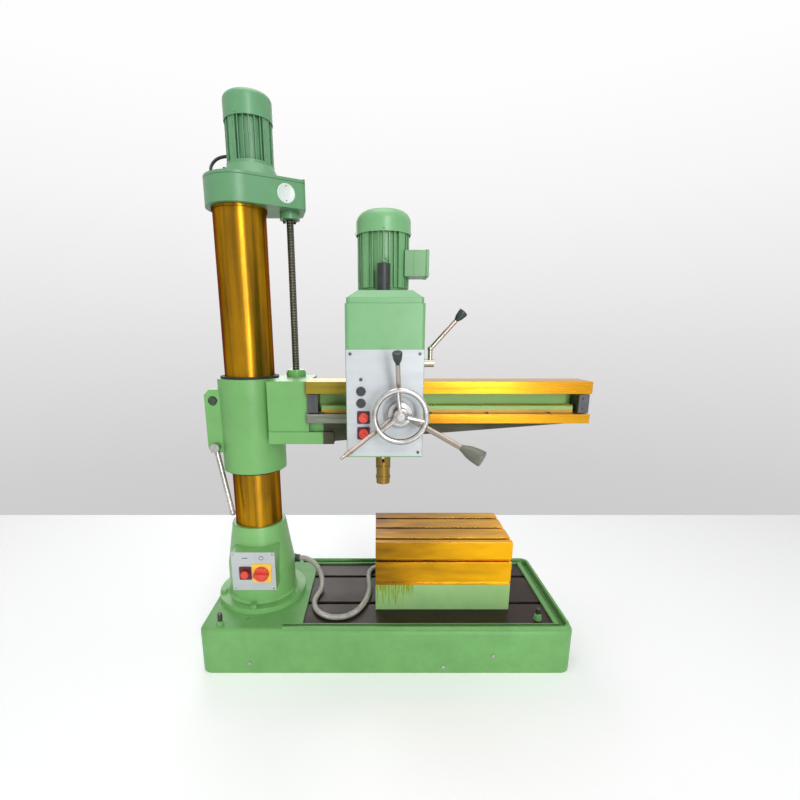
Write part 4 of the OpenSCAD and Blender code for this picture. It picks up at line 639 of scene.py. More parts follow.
class Palette:
    """The drill's finishes, each made into a material once."""

    def __init__(self) -> None:
        """Lays out the finishes from the sizes of the castings that carry them."""
        made = self.plain() + self.arm_finishes() + self.stand_finishes() + self.small_finishes()
        self.finishes: dict[str, Finish] = {finish.name: finish for finish in made}

    def plain(self) -> list[Finish]:
        """Lists the finishes that look the same all over.

        Returns:
            The finishes.
        """
        # The fins get darker painted shade between them and more painted highlight along their edges.
        fins = {"edge_highlight_share": 0.7, "crevice": 0.72, "reach": 0.022}
        return [
            # The pedestal's green is lighter than the base's to make up for the shade on it: painted light.
            Paint("green_paint", (134, 194, 117), (126, 184, 110)),
            Paint("head_paint", HEAD_GREEN, (116, 173, 117)),
            Paint("head_fin_paint", HEAD_GREEN, (114, 172, 116), gap_shade_colour=(20, 56, 30), **fins),
            Paint("lift_fin_paint", LIFT_GREEN, LIFT_SHADE, gap_shade_colour=(18, 48, 30), **fins),
            # The terminal box's green is darker than the head's to tone down the key lamp on it: painted
            # shade.
            Paint("shaded_box_paint", (106, 160, 104), (98, 150, 98)),
            Metal(
                "column_steel", (184, 134, 24), (106, 76, 30), 0.33, (1.0, 1.0, 0.03), 60.0, 0.95,
                (74, 50, 22), 0.2, ground=0.8, rim=(140, 104, 60),
            ),
            Metal(
                "spindle_steel", (156, 126, 58), (108, 86, 38), 0.28, (1.0, 1.0, 0.1), 70.0, 0.9,
                (60, 48, 24), 0.3,
            ),
            Metal(
                "bright_steel", (202, 201, 199), (164, 161, 158), 0.2, EVEN, 60.0, 1.0,
                (120, 104, 92), 0.3,
            ),
            Metal(
                "rod_steel", (190, 182, 172), (150, 134, 120), 0.3, (14.0, 14.0, 14.0), 40.0, 1.0,
                (112, 84, 66), 0.75,
            ),
            Metal(
                "dark_steel", (96, 98, 100), (62, 64, 66), 0.42, (8.0, 8.0, 8.0), 60.0, 0.85,
                (44, 40, 36), 0.4,
            ),
            Metal(
                "screw_steel", (112, 112, 98), (80, 80, 70), 0.36, (1.0, 1.0, 4.0), 60.0, 0.85,
                (40, 40, 34), 0.2, pitch=0.01,
            ),
            Metal(
                "plate_alloy", (200, 206, 208), (188, 194, 197), 0.4, (0.1, 1.0, 1.0), 60.0, 0.12,
                (190, 190, 188), 0.25,
            ),
            Moulded("rubber_black", (30, 31, 31), (58, 58, 56), 0.62),
            Moulded("black_plastic", (38, 42, 42), (66, 70, 68), 0.42),
            Moulded("knob_plastic", (42, 54, 48), (66, 78, 70), 0.36, 260.0, 0.3),
            Moulded("knob_olive", (104, 106, 94), (134, 134, 118), 0.34, 240.0, 0.3),
            Moulded("red_plastic", (226, 72, 56), (240, 128, 100), 0.3),
            Moulded("yellow_plastic", (250, 208, 70), (252, 224, 130), 0.35),
            Moulded("plum_plastic", (92, 22, 28), (130, 50, 52), 0.4),
            Moulded("print_ink", (52, 56, 62), (84, 88, 92), 0.6),
            Moulded("badge_white", (222, 232, 226), (240, 244, 240), 0.35),
            Hose("conduit_skin", (206, 202, 194), (120, 110, 98), 420.0, 0.38, 0.25),
            Hose("cable_skin", (28, 30, 34), (70, 70, 70), 0.0, 0.5),
        ]

    def arm_finishes(self) -> list[Finish]:
        """Lists the finishes of the arm and its rack, whose faces are boxed from the frame.

        Returns:
            The finishes.
        """
        arm_low, arm_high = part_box("arm_casting")
        stop_low, stop_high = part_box("arm_end_stops")
        rack_low, rack_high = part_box("arm_rack")
        past, flow = 0.01, (0.5, 9.0, 9.0)
        head_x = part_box("head_casting")[0].x + 0.002
        beam_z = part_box("sleeve_wipers")[1].z - 0.0066
        start, end = stop_low.x - 0.0015, arm_high.x + past
        way_y, lip_y = arm_low.y, arm_low.y + 0.0345
        way_z, ledge_z = rack_low.z - 0.0318, rack_low.z + 0.0004
        upper_z = stop_high.z + 0.0025
        # The recess behind the rack is painted a lighter green, standing in for light that reaches into it:
        # painted light.
        recess_painted_light = Zone(
            (start, way_y - past, ledge_z), (end, way_y + 0.087, upper_z),
            (166, 212, 126), (154, 200, 114), 0.0, 0.4, EVEN, 4.0,
        )
        upper = Zone(
            (start, way_y - past, upper_z), (end, lip_y, arm_high.z),
            AMBER, AMBER_DEEP, 0.6, 0.24, flow, 5.0, detail=1.5, bright=EDGE_HIGHLIGHT,
        )
        top = Zone(
            (start, way_y - past, beam_z), (end, arm_high.y, arm_high.z),
            AMBER, (196, 146, 20), 0.7, 0.3, flow, 5.0, detail=1.5,
        )
        lower = Zone(
            (start, way_y - past, way_z), (end, rack_low.y, ledge_z),
            (210, 154, 12), AMBER_DEEP, 0.6, 0.24, flow, 5.0, detail=1.5, bright=EDGE_HIGHLIGHT,
        )
        # The upper way left of the head is darker.
        upper_way_left_darker = Zone(
            (start - past, way_y - 0.02, stop_high.z - past), (head_x, lip_y + 0.02, arm_high.z + past),
            (164, 142, 44), (132, 116, 38), 0.3, 0.34, flow, 5.0, 0.004,
        )
        # The lower way left of the head is greyer and darker: bare, unoiled steel, with painted shade.
        lower_way_left_bare_and_shaded = Zone(
            (start - past, way_y - 0.02, way_z - 0.004), (head_x, rack_low.y + past, rack_low.z + 0.006),
            (150, 150, 134), (104, 112, 98), 0.3, 0.42, flow, 8.0, 0.004,
        )
        # The arm's underside below the lower way is painted dark: painted shade.
        shaded_underside = Zone(
            (start + 0.05, way_y - 0.02, arm_low.z - 0.02), (end, arm_high.y, way_z - 0.0012),
            (72, 72, 50), (52, 52, 36), 0.0, 0.55, (1.0, 3.0, 3.0), 6.0, 0.004,
        )
        # The rack's upper front face takes the recess's lightened green, and its amber is lighter than the
        # ways' amber to make up for the shade under the upper way: painted light.
        rack_face_painted_light = Zone(
            (start, rack_low.y - past, rack_low.z + 0.012), (end, rack_high.y + past, rack_high.z - 0.002),
            (160, 208, 122), (150, 198, 112), 0.0, 0.4, EVEN, 4.0,
        )
        arm_zones = (recess_painted_light, upper, top, lower, upper_way_left_darker, lower_way_left_bare_and_shaded, shaded_underside)
        return [
            Paint("arm_paint", GREEN, GREEN_SHADE, zones=arm_zones, edge=0.003, gloss=0.35),
            Paint(
                "rack_paint", (244, 194, 66), (206, 150, 46), zones=(rack_face_painted_light,), edge=0.001,
                crevice=0.4, reach=0.006,
            ),
        ]

    def stand_finishes(self) -> list[Finish]:
        """Lists the finishes of the table, base and levelling screws, boxed from the frame.

        Returns:
            The finishes.
        """
        table_low, table_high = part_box("work_table")
        base_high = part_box("base_casting")[1]
        past, plate_y = 0.01, 0.2336
        foot_z, plate_z = table_low.z + 0.111, table_low.z
        nut_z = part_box("levelling_screws")[1].z - 0.0285
        # The worktop is painted darker brown towards the left and back and brighter amber towards the right
        # and front: painted light and shade.
        worktop = Zone(
            (table_low.x - past, table_low.y - past, foot_z - 0.0006),
            (table_high.x + past, table_high.y + past, table_high.z + past),
            (230, 168, 10), (98, 62, 16), 0.82, 0.26, (0.8, 3.0, 3.0), 5.0,
            painted_light_lean=(-1.25, 0.8, 0.0), level=0.93, detail=2.0, spread=(0.1, 0.9), bright=EDGE_HIGHLIGHT,
        )
        runs = Zone(
            (table_low.x, table_low.y - past, plate_z + 0.02),
            (table_low.x + 0.15, table_low.y + 0.03, foot_z + 0.004),
            (140, 156, 10), (140, 156, 10), 0.0, 0.3, (1.0, 0.2, 0.05), 150.0, 0.01,
        )
        plate = Zone(
            (0.2046, -plate_y, plate_z - 0.04), (base_high.x - 0.0664, plate_y, plate_z + 0.0012),
            (56, 42, 34), (42, 32, 26), 0.0, 0.34, (1.0, 2.0, 2.0), 5.0,
        )
        stud = Zone(
            (-1.0, -1.0, nut_z), (2.0, 1.0, 1.0),
            (92, 90, 86), (60, 58, 56), 0.8, 0.4, (1.0, 1.0, 6.0), 90.0,
        )
        return [
            Paint(
                "table_paint", (162, 202, 132), (146, 196, 128), zones=(worktop,), runs=runs,
                edge=0.0016, gloss=0.35,
            ),
            Paint("base_paint", GREEN, GREEN_SHADE, zones=(plate,), edge=0.005, grime=0.18, gloss=0.2),
            Paint("levelling_paint", GREEN, GREEN_SHADE, zones=(stud,), edge=0.001),
        ]

    def small_finishes(self) -> list[Finish]:
        """Lists the finishes of the gearbox, with its seam, and of the control bezels.

        Returns:
            The finishes.
        """
        seam_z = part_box("lift_gearbox")[1].z
        squares_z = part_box("lower_button")[0].z - 0.006
        seam = Zone(
            (-1.0, -1.0, seam_z - 0.0012), (1.0, 1.0, seam_z + 0.0008),
            (58, 92, 68), (48, 78, 58), 0.0, 0.5, soft=0.0004,
        )
        squares = Zone(
            (0.0, -1.0, 0.0), (1.0, 0.0, squares_z), (84, 26, 44), (58, 18, 32), 0.0, 0.4,
        )
        return [
            Paint("lift_paint", LIFT_GREEN, LIFT_SHADE, zones=(seam,)),
            Paint("bezel_paint", (70, 74, 70), (52, 56, 54), zones=(squares,), edge=0.0008, edge_highlight_share=0.2),
        ]

    @cache
    def get(self, name: str) -> bpy.types.Material:
        """Returns the material of a finish, making it on first use."""
        return self.finishes[name].material()

    def dress(self, piece: bpy.types.Object, name: str) -> None:
        """Gives a piece one finish all over."""
        piece.data.materials.clear()
        piece.data.materials.append(self.get(name))


PALETTE = Palette()


class Workshop:
    """Makes meshes and sets them on the bodies that carry them."""

    @staticmethod
    def link(name: str, shape: bmesh.types.BMesh, sharp: float = 40.0) -> bpy.types.Object:
        """Turns a bmesh into an object with smooth faces and sharp edges.

        Args:
            name: the object's name.
            shape: its mesh, which is used up.
            sharp: angle in degrees above which an edge stays sharp.

        Returns:
            The object, at the origin.
        """
        bmesh.ops.remove_doubles(shape, verts=shape.verts, dist=1e-6)
        bmesh.ops.recalc_face_normals(shape, faces=shape.faces)
        for face in shape.faces:
            face.smooth = True
        for edge in shape.edges:
            edge.smooth = len(edge.link_faces) == 2 and edge.calc_face_angle() < math.radians(sharp)
        mesh = bpy.data.meshes.new(name)
        shape.to_mesh(mesh)
        shape.free()
        piece = bpy.data.objects.new(name, mesh)
        bpy.context.scene.collection.objects.link(piece)
        return piece

    def set(
        self, piece: bpy.types.Object, body: str, finish: str, slot: str, stands_for: Sequence[str] = ()
    ) -> bpy.types.Object:
        """Finishes a piece and lets it ride on a body.

        Args:
            piece: the finished mesh.
            body: the body that carries it.
            finish: its finish.
            slot: the record's material slot; not used.
            stands_for: solids that it replaces.

        Returns:
            The same piece.
        """
        PALETTE.dress(piece, finish)
        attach(piece, body)
        if stands_for:
            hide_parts(*stands_for)
        LOG.info("%s rides on %s, %d faces", piece.name, body, len(piece.data.polygons))
        return piece

    @staticmethod
    def circle(radius: float, sides: int) -> list[Span]:
        """Returns the corners of a regular polygon about the origin."""
        turns = [math.tau * k / sides for k in range(sides)]
        return [(radius * math.cos(turn), radius * math.sin(turn)) for turn in turns]

    def lathe(
        self, name: str, profile: Sequence[Span], place: Matrix, turns: int = 48, ring: bool = False
    ) -> bpy.types.Object:
        """Turns a profile about its own axis.

        Args:
            name: the object's name.
            profile: radius and height of each point, from bottom to top.
            place: where the axis stands.
            turns: facets around.
            ring: whether the profile closes on itself, with a hole through the middle.

        Returns:
            The turned piece.
        """
        shape = bmesh.new()
        rings = [
            [shape.verts.new(place @ Vector((x, y, z))) for x, y in self.circle(r, turns)]
            for r, z in profile
        ]
        for a, b in zip(rings, rings[1:] + rings[:1] if ring else rings[1:]):
            for k in range(turns):
                shape.faces.new((a[k], a[(k + 1) % turns], b[(k + 1) % turns], b[k]))
        for circle in () if ring else (rings[0], rings[-1]):
            shape.faces.new(circle)
        return self.link(name, shape)

    def block(self, name: str, low: Point, high: Point, soft: float) -> bpy.types.Object:
        """Makes a box with rounded edges between two corners.

        Args:
            name: the object's name.
            low: lowest corner.
            high: highest corner.
            soft: radius of its edges.

        Returns:
            The box.
        """
        shape = bmesh.new()
        size = Vector(high) - Vector(low)
        middle = (Vector(high) + Vector(low)) / 2
        place = Matrix.Translation(middle) @ Matrix.Diagonal((*size, 1.0))
        bmesh.ops.create_cube(shape, size=1.0, matrix=place)
        bmesh.ops.bevel(
            shape, geom=shape.edges[:], offset=soft, segments=3, profile=0.5, affect="EDGES",
        )
        return self.link(name, shape)

    def tube(self, name: str, path: Sequence[Point], radius: float, sides: int = 20) -> bpy.types.Object:
        """Sweeps a round tube along a path and maps it by its length.

        Args:
            name: the object's name.
            path: points of its centreline.
            radius: the tube's radius.
            sides: facets around.

        Returns:
            The tube, closed at both ends.
        """
        points = [Vector(p) for p in path]
        shape = bmesh.new()
        chart = shape.loops.layers.uv.new("length")
        rings, lengths = [], [0.0]
        side = None
        for i, point in enumerate(points):
            along = (points[min(i + 1, len(points) - 1)] - points[max(i - 1, 0)]).normalized()
            side = along.orthogonal() if side is None else (side - along * side.dot(along))
            side.normalize()
            across = along.cross(side)
            rings.append([
                shape.verts.new(point + u * side + v * across) for u, v in self.circle(radius, sides)
            ])
            if i:
                lengths.append(lengths[-1] + (point - points[i - 1]).length)
        for i, (a, b) in enumerate(zip(rings, rings[1:])):
            for k in range(sides):
                face = shape.faces.new((a[k], a[(k + 1) % sides], b[(k + 1) % sides], b[k]))
                for loop, (u, v) in zip(face.loops, ((k, i), (k + 1, i), (k + 1, i + 1), (k, i + 1))):
                    loop[chart].uv = (u / sides, lengths[v])
        for ring in (rings[0], rings[-1]):
            shape.faces.new(ring)
        return self.link(name, shape)

    def screw_head(self, kind: ScrewKind, radius: float) -> bpy.types.Object:
        """Makes one screw head that stands along +Z on the origin.

        Args:
            kind: shape of the head.
            radius: its radius.

        Returns:
            The head, to be copied by the screw tree.
        """
        tall = {ScrewKind.PAN: 0.5, ScrewKind.CAP: 0.9, ScrewKind.RIVET: 0.4}[kind] * radius
        socket = {ScrewKind.PAN: 0.34, ScrewKind.CAP: 0.5, ScrewKind.RIVET: 0.0}[kind] * radius
        rounded = tall * (0.25 if kind is ScrewKind.CAP else 0.75)
        profile = [(radius, -0.0003), (radius, tall - rounded)]
        profile += [
            (radius - rounded * (1 - math.cos(a)), tall - rounded + rounded * math.sin(a))
            for a in (math.pi / 8, math.pi / 4, 3 * math.pi / 8, math.pi / 2)
        ]
        if socket:
            profile += [(socket, tall), (socket * 0.96, tall * 0.35)]
        return self.lathe(f"screw_{kind.value}", profile, Matrix.Identity(4), 18)

    @staticmethod
    def close(g: Graph, copies: Socket, material: Socket) -> bpy.types.NodeTree:
        """Ends a geometry tree with its copies as real mesh.

        Args:
            g: the tree's graph.
            copies: the instances.
            material: their material.

        Returns:
            The finished tree.
        """
        solid = g.add("GeometryNodeRealizeInstances", {0: copies}).outputs[0]
        done = g.add("GeometryNodeSetMaterial", {"Geometry": solid, "Material": material})
        g.add("NodeGroupOutput", {0: done.outputs[0]})
        return g.tree

    @cache
    def screw_tree(self) -> bpy.types.NodeTree:
        """Builds the tree that sets a screw on every point along its aim, once for all rows.

        Returns:
            The tree.
        """
        wanted = {"Geometry": "Geometry", "Screw": "Object", "Scale": "Float", "Metal": "Material"}
        g = Graph.group("screw_row", "GeometryNodeTree", wanted, {"Geometry": "Geometry"})
        given = g.add("NodeGroupInput").outputs
        head = g.add("GeometryNodeObjectInfo", {"Object": given["Screw"]}).outputs["Geometry"]
        aim = g.add("GeometryNodeInputNamedAttribute", {"Name": "aim"}, data_type="FLOAT_VECTOR")
        turn = g.add("FunctionNodeAlignRotationToVector", {"Vector": aim.outputs["Attribute"]}, axis="Z")
        placed = g.add("GeometryNodeInstanceOnPoints", {
            "Points": given["Geometry"], "Instance": head,
            "Rotation": turn.outputs["Rotation"], "Scale": given["Scale"],
        })
        return self.close(g, placed.outputs["Instances"], given["Metal"])

    def tick_tree(self) -> bpy.types.NodeTree:
        """Builds the tree that sets marks around a dial.

        Returns:
            The tree.
        """
        wanted = {"Count": "Int", "Radius": "Float", "Sweep": "Float", "Mark": "Vector", "Ink": "Material"}
        g = Graph.group("dial_marks", "GeometryNodeTree", wanted, {"Geometry": "Geometry"})
        given = g.add("NodeGroupInput").outputs
        points = g.add("GeometryNodePoints", {"Count": given["Count"]}).outputs[0]
        share = g.calc(Calc.PART, g.add("GeometryNodeInputIndex").outputs[0], given["Count"])
        angle = g.calc(Calc.TIMES, share, given["Sweep"])
        turned = g.add("ShaderNodeCombineXYZ", {"Y": angle}).outputs[0]
        reach = g.add("ShaderNodeCombineXYZ", {"X": given["Radius"]}).outputs[0]
        spot = g.add(
            "ShaderNodeVectorRotate", {"Vector": reach, "Rotation": turned}, rotation_type="EULER_XYZ",
        ).outputs[0]
        moved = g.add("GeometryNodeSetPosition", {"Geometry": points, "Position": spot}).outputs[0]
        mark = g.add("GeometryNodeMeshCube", {"Size": given["Mark"]}).outputs[0]
        euler = g.add("FunctionNodeEulerToRotation", {0: turned}).outputs[0]
        placed = g.add(
            "GeometryNodeInstanceOnPoints", {"Points": moved, "Instance": mark, "Rotation": euler},
        )
        return self.close(g, placed.outputs[0], given["Ink"])

    @staticmethod
    def grow(
        name: str, seed: bpy.types.Object, tree: bpy.types.NodeTree, inputs: dict[str, object]
    ) -> bpy.types.Object:
        """Runs a geometry tree on a seed and keeps the result as a plain mesh.

        Args:
            name: the new object's name.
            seed: object that carries the tree; it is used up.
            tree: the geometry tree.
            inputs: values of its named inputs.

        Returns:
            The grown object.
        """
        modifier = seed.modifiers.new("grow", "NODES")
        modifier.node_group = tree
        names = {s.name: s.identifier for s in tree.interface.items_tree if s.in_out == "INPUT"}
        for key, value in inputs.items():
            modifier[names[key]] = value
        graph = bpy.context.evaluated_depsgraph_get()
        mesh = bpy.data.meshes.new_from_object(seed.evaluated_get(graph), depsgraph=graph)
        mesh.name = name
        bpy.data.objects.remove(seed)
        grown = bpy.data.objects.new(name, mesh)
        bpy.context.scene.collection.objects.link(grown)
        return grown

    def screws(
        self, name: str, spots: Iterable[Spot], kind: ScrewKind, radius: float, body: str, finish: str,
        slot: str,
    ) -> bpy.types.Object:
        """Sets a row of screws on one body.

        Args:
            name: the row's name.
            spots: place and direction of each screw.
            kind: shape of the heads.
            radius: radius of the heads.
            body: the body that carries them.
            finish: their finish.
            slot: the record's material slot.

        Returns:
            The row, as one mesh.
        """
        places = list(spots)
        mesh = bpy.data.meshes.new(name)
        mesh.from_pydata([p for p, _ in places], [], [])
        aim = mesh.attributes.new("aim", "FLOAT_VECTOR", "POINT")
        for item, (_, direction) in zip(aim.data, places):
            item.vector = direction
        seed = bpy.data.objects.new(f"{name}_seed", mesh)
        bpy.context.scene.collection.objects.link(seed)
        head = self.screw_head(kind, radius)
        inputs = {"Screw": head, "Scale": 1.0, "Metal": PALETTE.get(finish)}
        row = self.grow(name, seed, self.screw_tree(), inputs)
        bpy.data.objects.remove(head)
        return self.set(row, body, finish, slot)

    def cowl_screws(
        self, name: str, node: str, turns: Iterable[float], body: str, finish: str
    ) -> Vector:
        """Sets the screws that hold a motor's fan cowl.

        Args:
            name: the row's name.
            node: the cowl's solid.
            turns: place of each screw around it, in degrees.
            body: the body that carries them.
            finish: their finish.

        Returns:
            The middle of the cowl.
        """
        rise, sunk, radius = 0.008, 0.0002, 0.0038
        low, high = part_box(node)
        middle = (low + high) / 2
        foot = (middle.x, middle.y, low.z + rise)
        spots = ring_spots(foot, (high.x - low.x) / 2 - sunk, turns)
        self.screws(name, spots, ScrewKind.PAN, radius, body, finish, "green_paint")
        return middle


SHOP = Workshop()


def smooth_path(points: Sequence[Point], step: float) -> list[Vector]:
    """Draws a smooth curve through points and samples it evenly enough for a tube.

    Args:
        points: the curve's points in order.
        step: wanted distance between samples.

    Returns:
        Points along the curve, with the first and last kept.
    """
    p = [Vector(q) for q in points]
    p = [p[0] * 2 - p[1], *p, p[-1] * 2 - p[-2]]
    out: list[Vector] = []
    for a, b, c, d in zip(p, p[1:], p[2:], p[3:]):
        slope, bend, twist = c - a, 2 * a - 5 * b + 4 * c - d, 3 * b - a - 3 * c + d
        count = max(2, round((c - b).length / step))
        for k in range(count):
            t = k / count
            out.append(0.5 * (2 * b + slope * t + bend * t**2 + twist * t**3))
    out.append(p[-2])
    return out


def ring_spots(centre: Point, radius: float, angles: Iterable[float]) -> list[Spot]:
    """Places screws around an upright cylinder.

    Args:
        centre: middle of the ring.
        radius: the cylinder's radius.
        angles: place of each screw in degrees.

    Returns:
        Place and outward direction of each screw.
    """
    spots = []
    for a in map(math.radians, angles):
        out = (math.cos(a), math.sin(a), 0.0)
        spots.append(((centre[0] + radius * out[0], centre[1] + radius * out[1], centre[2]), out))
    return spots


@dataclass
class Studio:
    """Camera, lamps, floor and world, at the photograph's viewing angle."""

    eye: Point = (0.4905, -1.7346, 1.2549)
    dip: float = 0.23465
    focus_px: float = 445.56
    centre_px: tuple[float, float] = (377.2, 442.56)
    film: float = 36.0
    floor_reach: float = 14.0
    floor_edge: float = 1.268
    floor_lift: float = 0.26
    ambient: float = 0.28
    backdrop: tuple[Span, ...] = (
        (-0.40, 203.0), (-0.25, 209.0), (-0.14, 217.0), (0.0, 228.0), (0.08, 235.0),
        (0.26, 248.0), (0.42, 255.0),
    )

    def camera(self) -> None:
        """Sets the camera."""
        lens = bpy.data.cameras.new("camera")
        lens.sensor_fit = "HORIZONTAL"
        lens.sensor_width = self.film
        lens.lens = self.focus_px / IMAGE_SIDE * self.film
        lens.shift_x = 0.5 - self.centre_px[0] / IMAGE_SIDE
        lens.shift_y = self.centre_px[1] / IMAGE_SIDE - 0.5
        lens.clip_end = 60.0
        camera = bpy.data.objects.new("camera", lens)
        camera.location = self.eye
        camera.rotation_euler = (math.pi / 2 - self.dip, 0.0, 0.0)
        bpy.context.scene.collection.objects.link(camera)
        bpy.context.scene.camera = camera

    @staticmethod
    def lamp(name: str, at: Point, towards: Point, size: Span, watts: float, glint: bool = True) -> None:
        """Hangs one soft oblong lamp.

        Args:
            name: the lamp's name.
            at: where it hangs.
            towards: the point it lights.
            size: its width and height.
            watts: its power.
            glint: whether gloss shows it.
        """
        light = bpy.data.lights.new(name, "AREA")
        light.shape = "RECTANGLE"
        light.size, light.size_y = size
        light.energy = watts
        lamp = bpy.data.objects.new(name, light)
        lamp.location = at
        lamp.rotation_euler = (Vector(towards) - Vector(at)).to_track_quat("-Z", "Y").to_euler()
        lamp.visible_camera = False
        lamp.visible_glossy = glint
        bpy.context.scene.collection.objects.link(lamp)

    def lamps(self) -> None:
        """Hangs the key, fill, top and back lamps."""
        middle = (0.5, 0.0, 0.9)
        self.lamp("key", (2.05, -5.75, 2.4), middle, (1.4, 4.2), 212.0)
        self.lamp("fill", (-3.2, -3.0, 2.0), middle, (2.4, 2.4), 24.0, glint=False)
        self.lamp("top", (0.4, -0.3, 4.6), middle, (2.6, 2.6), 60.0)
        self.lamp("back", (-0.6, 3.4, 2.6), middle, (2.4, 2.4), 42.0)

    @staticmethod
    def seen_rays(g: Graph) -> Socket:
        """Tells what the camera, gloss and glass see from light on the object.

        Args:
            g: the graph that asks.

        Returns:
            1 for what is seen and 0 for light.
        """
        rays = g.add("ShaderNodeLightPath").outputs
        mirrored = g.calc(Calc.MOST, rays["Is Glossy Ray"], rays["Is Transmission Ray"])
        return g.calc(Calc.MOST, rays["Is Camera Ray"], mirrored)

    def floor(self) -> None:
        """Lays the pale floor."""
        shape = bmesh.new()
        near, far = -self.floor_reach, self.floor_edge
        middle = Matrix.Translation((0.0, (near + far) / 2, 0.0))
        place = middle @ Matrix.Diagonal((self.floor_reach, (far - near) / 2, 1.0, 1.0))
        bmesh.ops.create_grid(shape, x_segments=1, y_segments=1, size=1.0, matrix=place)
        floor = SHOP.link("floor", shape)
        material, g, shader = blank_material("floor")
        shader.inputs["Base Color"].default_value = linear((246, 246, 246))
        shader.inputs["Roughness"].default_value = 0.5
        seen = self.seen_rays(g)
        glow = g.add("ShaderNodeEmission", {"Strength": g.calc(Calc.TIMES, seen, self.floor_lift)})
        both = g.add("ShaderNodeAddShader", {0: shader.outputs[0], 1: glow.outputs[0]})
        end = next(n for n in material.node_tree.nodes if n.type == "OUTPUT_MATERIAL")
        g.feed(end.inputs["Surface"], both.outputs[0])
        floor.data.materials.append(material)

    def world(self) -> None:
        """Gives a pale surround that darkens towards the floor's far edge."""
        world = bpy.data.worlds.new("studio")
        world.use_nodes = True
        world.node_tree.nodes.clear()
        g = Graph(world.node_tree)
        aim = g.add("ShaderNodeTexCoord").outputs["Generated"]
        rise = g.add("ShaderNodeSeparateXYZ", {0: aim}).outputs["Z"]
        low, high = self.backdrop[0][0], self.backdrop[-1][0]
        ramp = g.add("ShaderNodeValToRGB", {0: g.span(rise, low, high)})
        steps = ramp.color_ramp.elements
        while len(steps) < len(self.backdrop):
            steps.new(1.0)
        for step, (z, grey) in zip(steps, self.backdrop):
            step.position = (z - low) / (high - low)
            step.color = linear((grey, grey - 1.5, grey - 1.0))
        direct = self.seen_rays(g)
        pale = g.add("ShaderNodeBackground", {"Color": ramp.outputs["Color"], "Strength": 1.0})
        soft = g.add("ShaderNodeBackground", {"Color": linear((226, 228, 232)), "Strength": self.ambient})
        both = g.add("ShaderNodeMixShader", {0: direct, 1: soft.outputs[0], 2: pale.outputs[0]})
        g.add("ShaderNodeOutputWorld", {"Surface": both.outputs[0]})
        bpy.context.scene.world = world
        bpy.context.scene.view_settings.view_transform = "Standard"

    def build(self) -> None:
        """Sets up the whole studio."""
        self.camera()
        self.lamps()
        self.floor()
        self.world()


CONDUIT_ROUTE: list[Point] = [
    (0.146, 0.080, 0.292), (0.168, 0.080, 0.292), (0.191, 0.079, 0.282), (0.211, 0.077, 0.267),
    (0.226, 0.071, 0.250), (0.238, 0.060, 0.232), (0.245, 0.045, 0.216), (0.248, 0.025, 0.202),
    (0.247, 0.003, 0.193), (0.244, -0.020, 0.188), (0.238, -0.043, 0.187), (0.233, -0.066, 0.187),
    (0.231, -0.090, 0.187), (0.234, -0.114, 0.187), (0.241, -0.137, 0.187), (0.252, -0.158, 0.187),
    (0.268, -0.176, 0.187), (0.287, -0.190, 0.187), (0.309, -0.199, 0.187), (0.333, -0.201, 0.187),
    (0.357, -0.198, 0.187), (0.378, -0.188, 0.187), (0.397, -0.173, 0.187), (0.412, -0.155, 0.187),
    (0.424, -0.134, 0.187), (0.434, -0.112, 0.187), (0.442, -0.090, 0.187), (0.448, -0.066, 0.187),
    (0.453, -0.043, 0.187), (0.456, -0.019, 0.187), (0.457, 0.005, 0.187), (0.457, 0.028, 0.187),
    (0.455, 0.052, 0.187), (0.453, 0.076, 0.187), (0.452, 0.100, 0.187), (0.452, 0.122, 0.187),
    (0.455, 0.144, 0.187), (0.463, 0.164, 0.187), (0.477, 0.181, 0.187), (0.494, 0.195, 0.187),
    (0.514, 0.203, 0.187), (0.536, 0.206, 0.187), (0.546, 0.206, 0.187), (0.556, 0.206, 0.187),
]
CABLE_ROUTE: list[Point] = [
    (-0.016, 0.086, 1.890), (-0.028, 0.086, 1.890), (-0.045, 0.084, 1.890), (-0.062, 0.079, 1.888),
    (-0.078, 0.072, 1.882), (-0.091, 0.064, 1.872), (-0.100, 0.056, 1.859), (-0.105, 0.048, 1.844),
    (-0.104, 0.040, 1.829), (-0.100, 0.035, 1.815), (-0.098, 0.033, 1.806), (-0.098, 0.033, 1.796),
]


@dataclass
class Stand:
    """Base, pedestal, column, table, switch panel and conduit."""

    conduit_radius: float = 0.011
    mark_rise: float = 0.0004
    off_radii: Span = (0.0085, 0.0068)
    on_half: Span = (0.011, 0.0015)
    on_soft: float = 0.0002

    def build(self) -> None:
        """Lays the conduit and prints the switch marks."""
        self.conduit()
        self.switch_marks()

    def conduit(self) -> None:
        """Lays the flexible conduit along its route."""
        path = smooth_path(CONDUIT_ROUTE, 0.008)
        hose = SHOP.tube("flexible_conduit", path, self.conduit_radius)
        SHOP.set(hose, "stand", "conduit_skin", "conduit_grey", ["conduit"])

    def switch_marks(self) -> None:
        """Prints plain on and off marks above the two switches."""
        low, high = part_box("switch_plate")
        iso_low, iso_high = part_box("isolator_plate")
        x = (iso_low.x + iso_high.x) / 2
        z = (iso_high.z + high.z) / 2
        wide, narrow = self.off_radii
        ring = [(wide, 0.0), (wide, self.mark_rise), (narrow, self.mark_rise), (narrow, 0.0)]
        place = Matrix.Translation((x, low.y, z)) @ Matrix.Rotation(math.pi / 2, 4, "X")
        off_mark = SHOP.lathe("off_mark", ring, place, 40, ring=True)
        SHOP.set(off_mark, "stand", "print_ink", "black_plastic")
        stop_low, stop_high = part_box("stop_plate")
        x = (stop_low.x + stop_high.x) / 2
        half_x, half_z = self.on_half
        on_mark = SHOP.block(
            "on_mark", (x - half_x, low.y - self.mark_rise, z - half_z),
            (x + half_x, low.y + self.on_soft, z + half_z), self.on_soft,
        )
        SHOP.set(on_mark, "stand", "print_ink", "black_plastic")


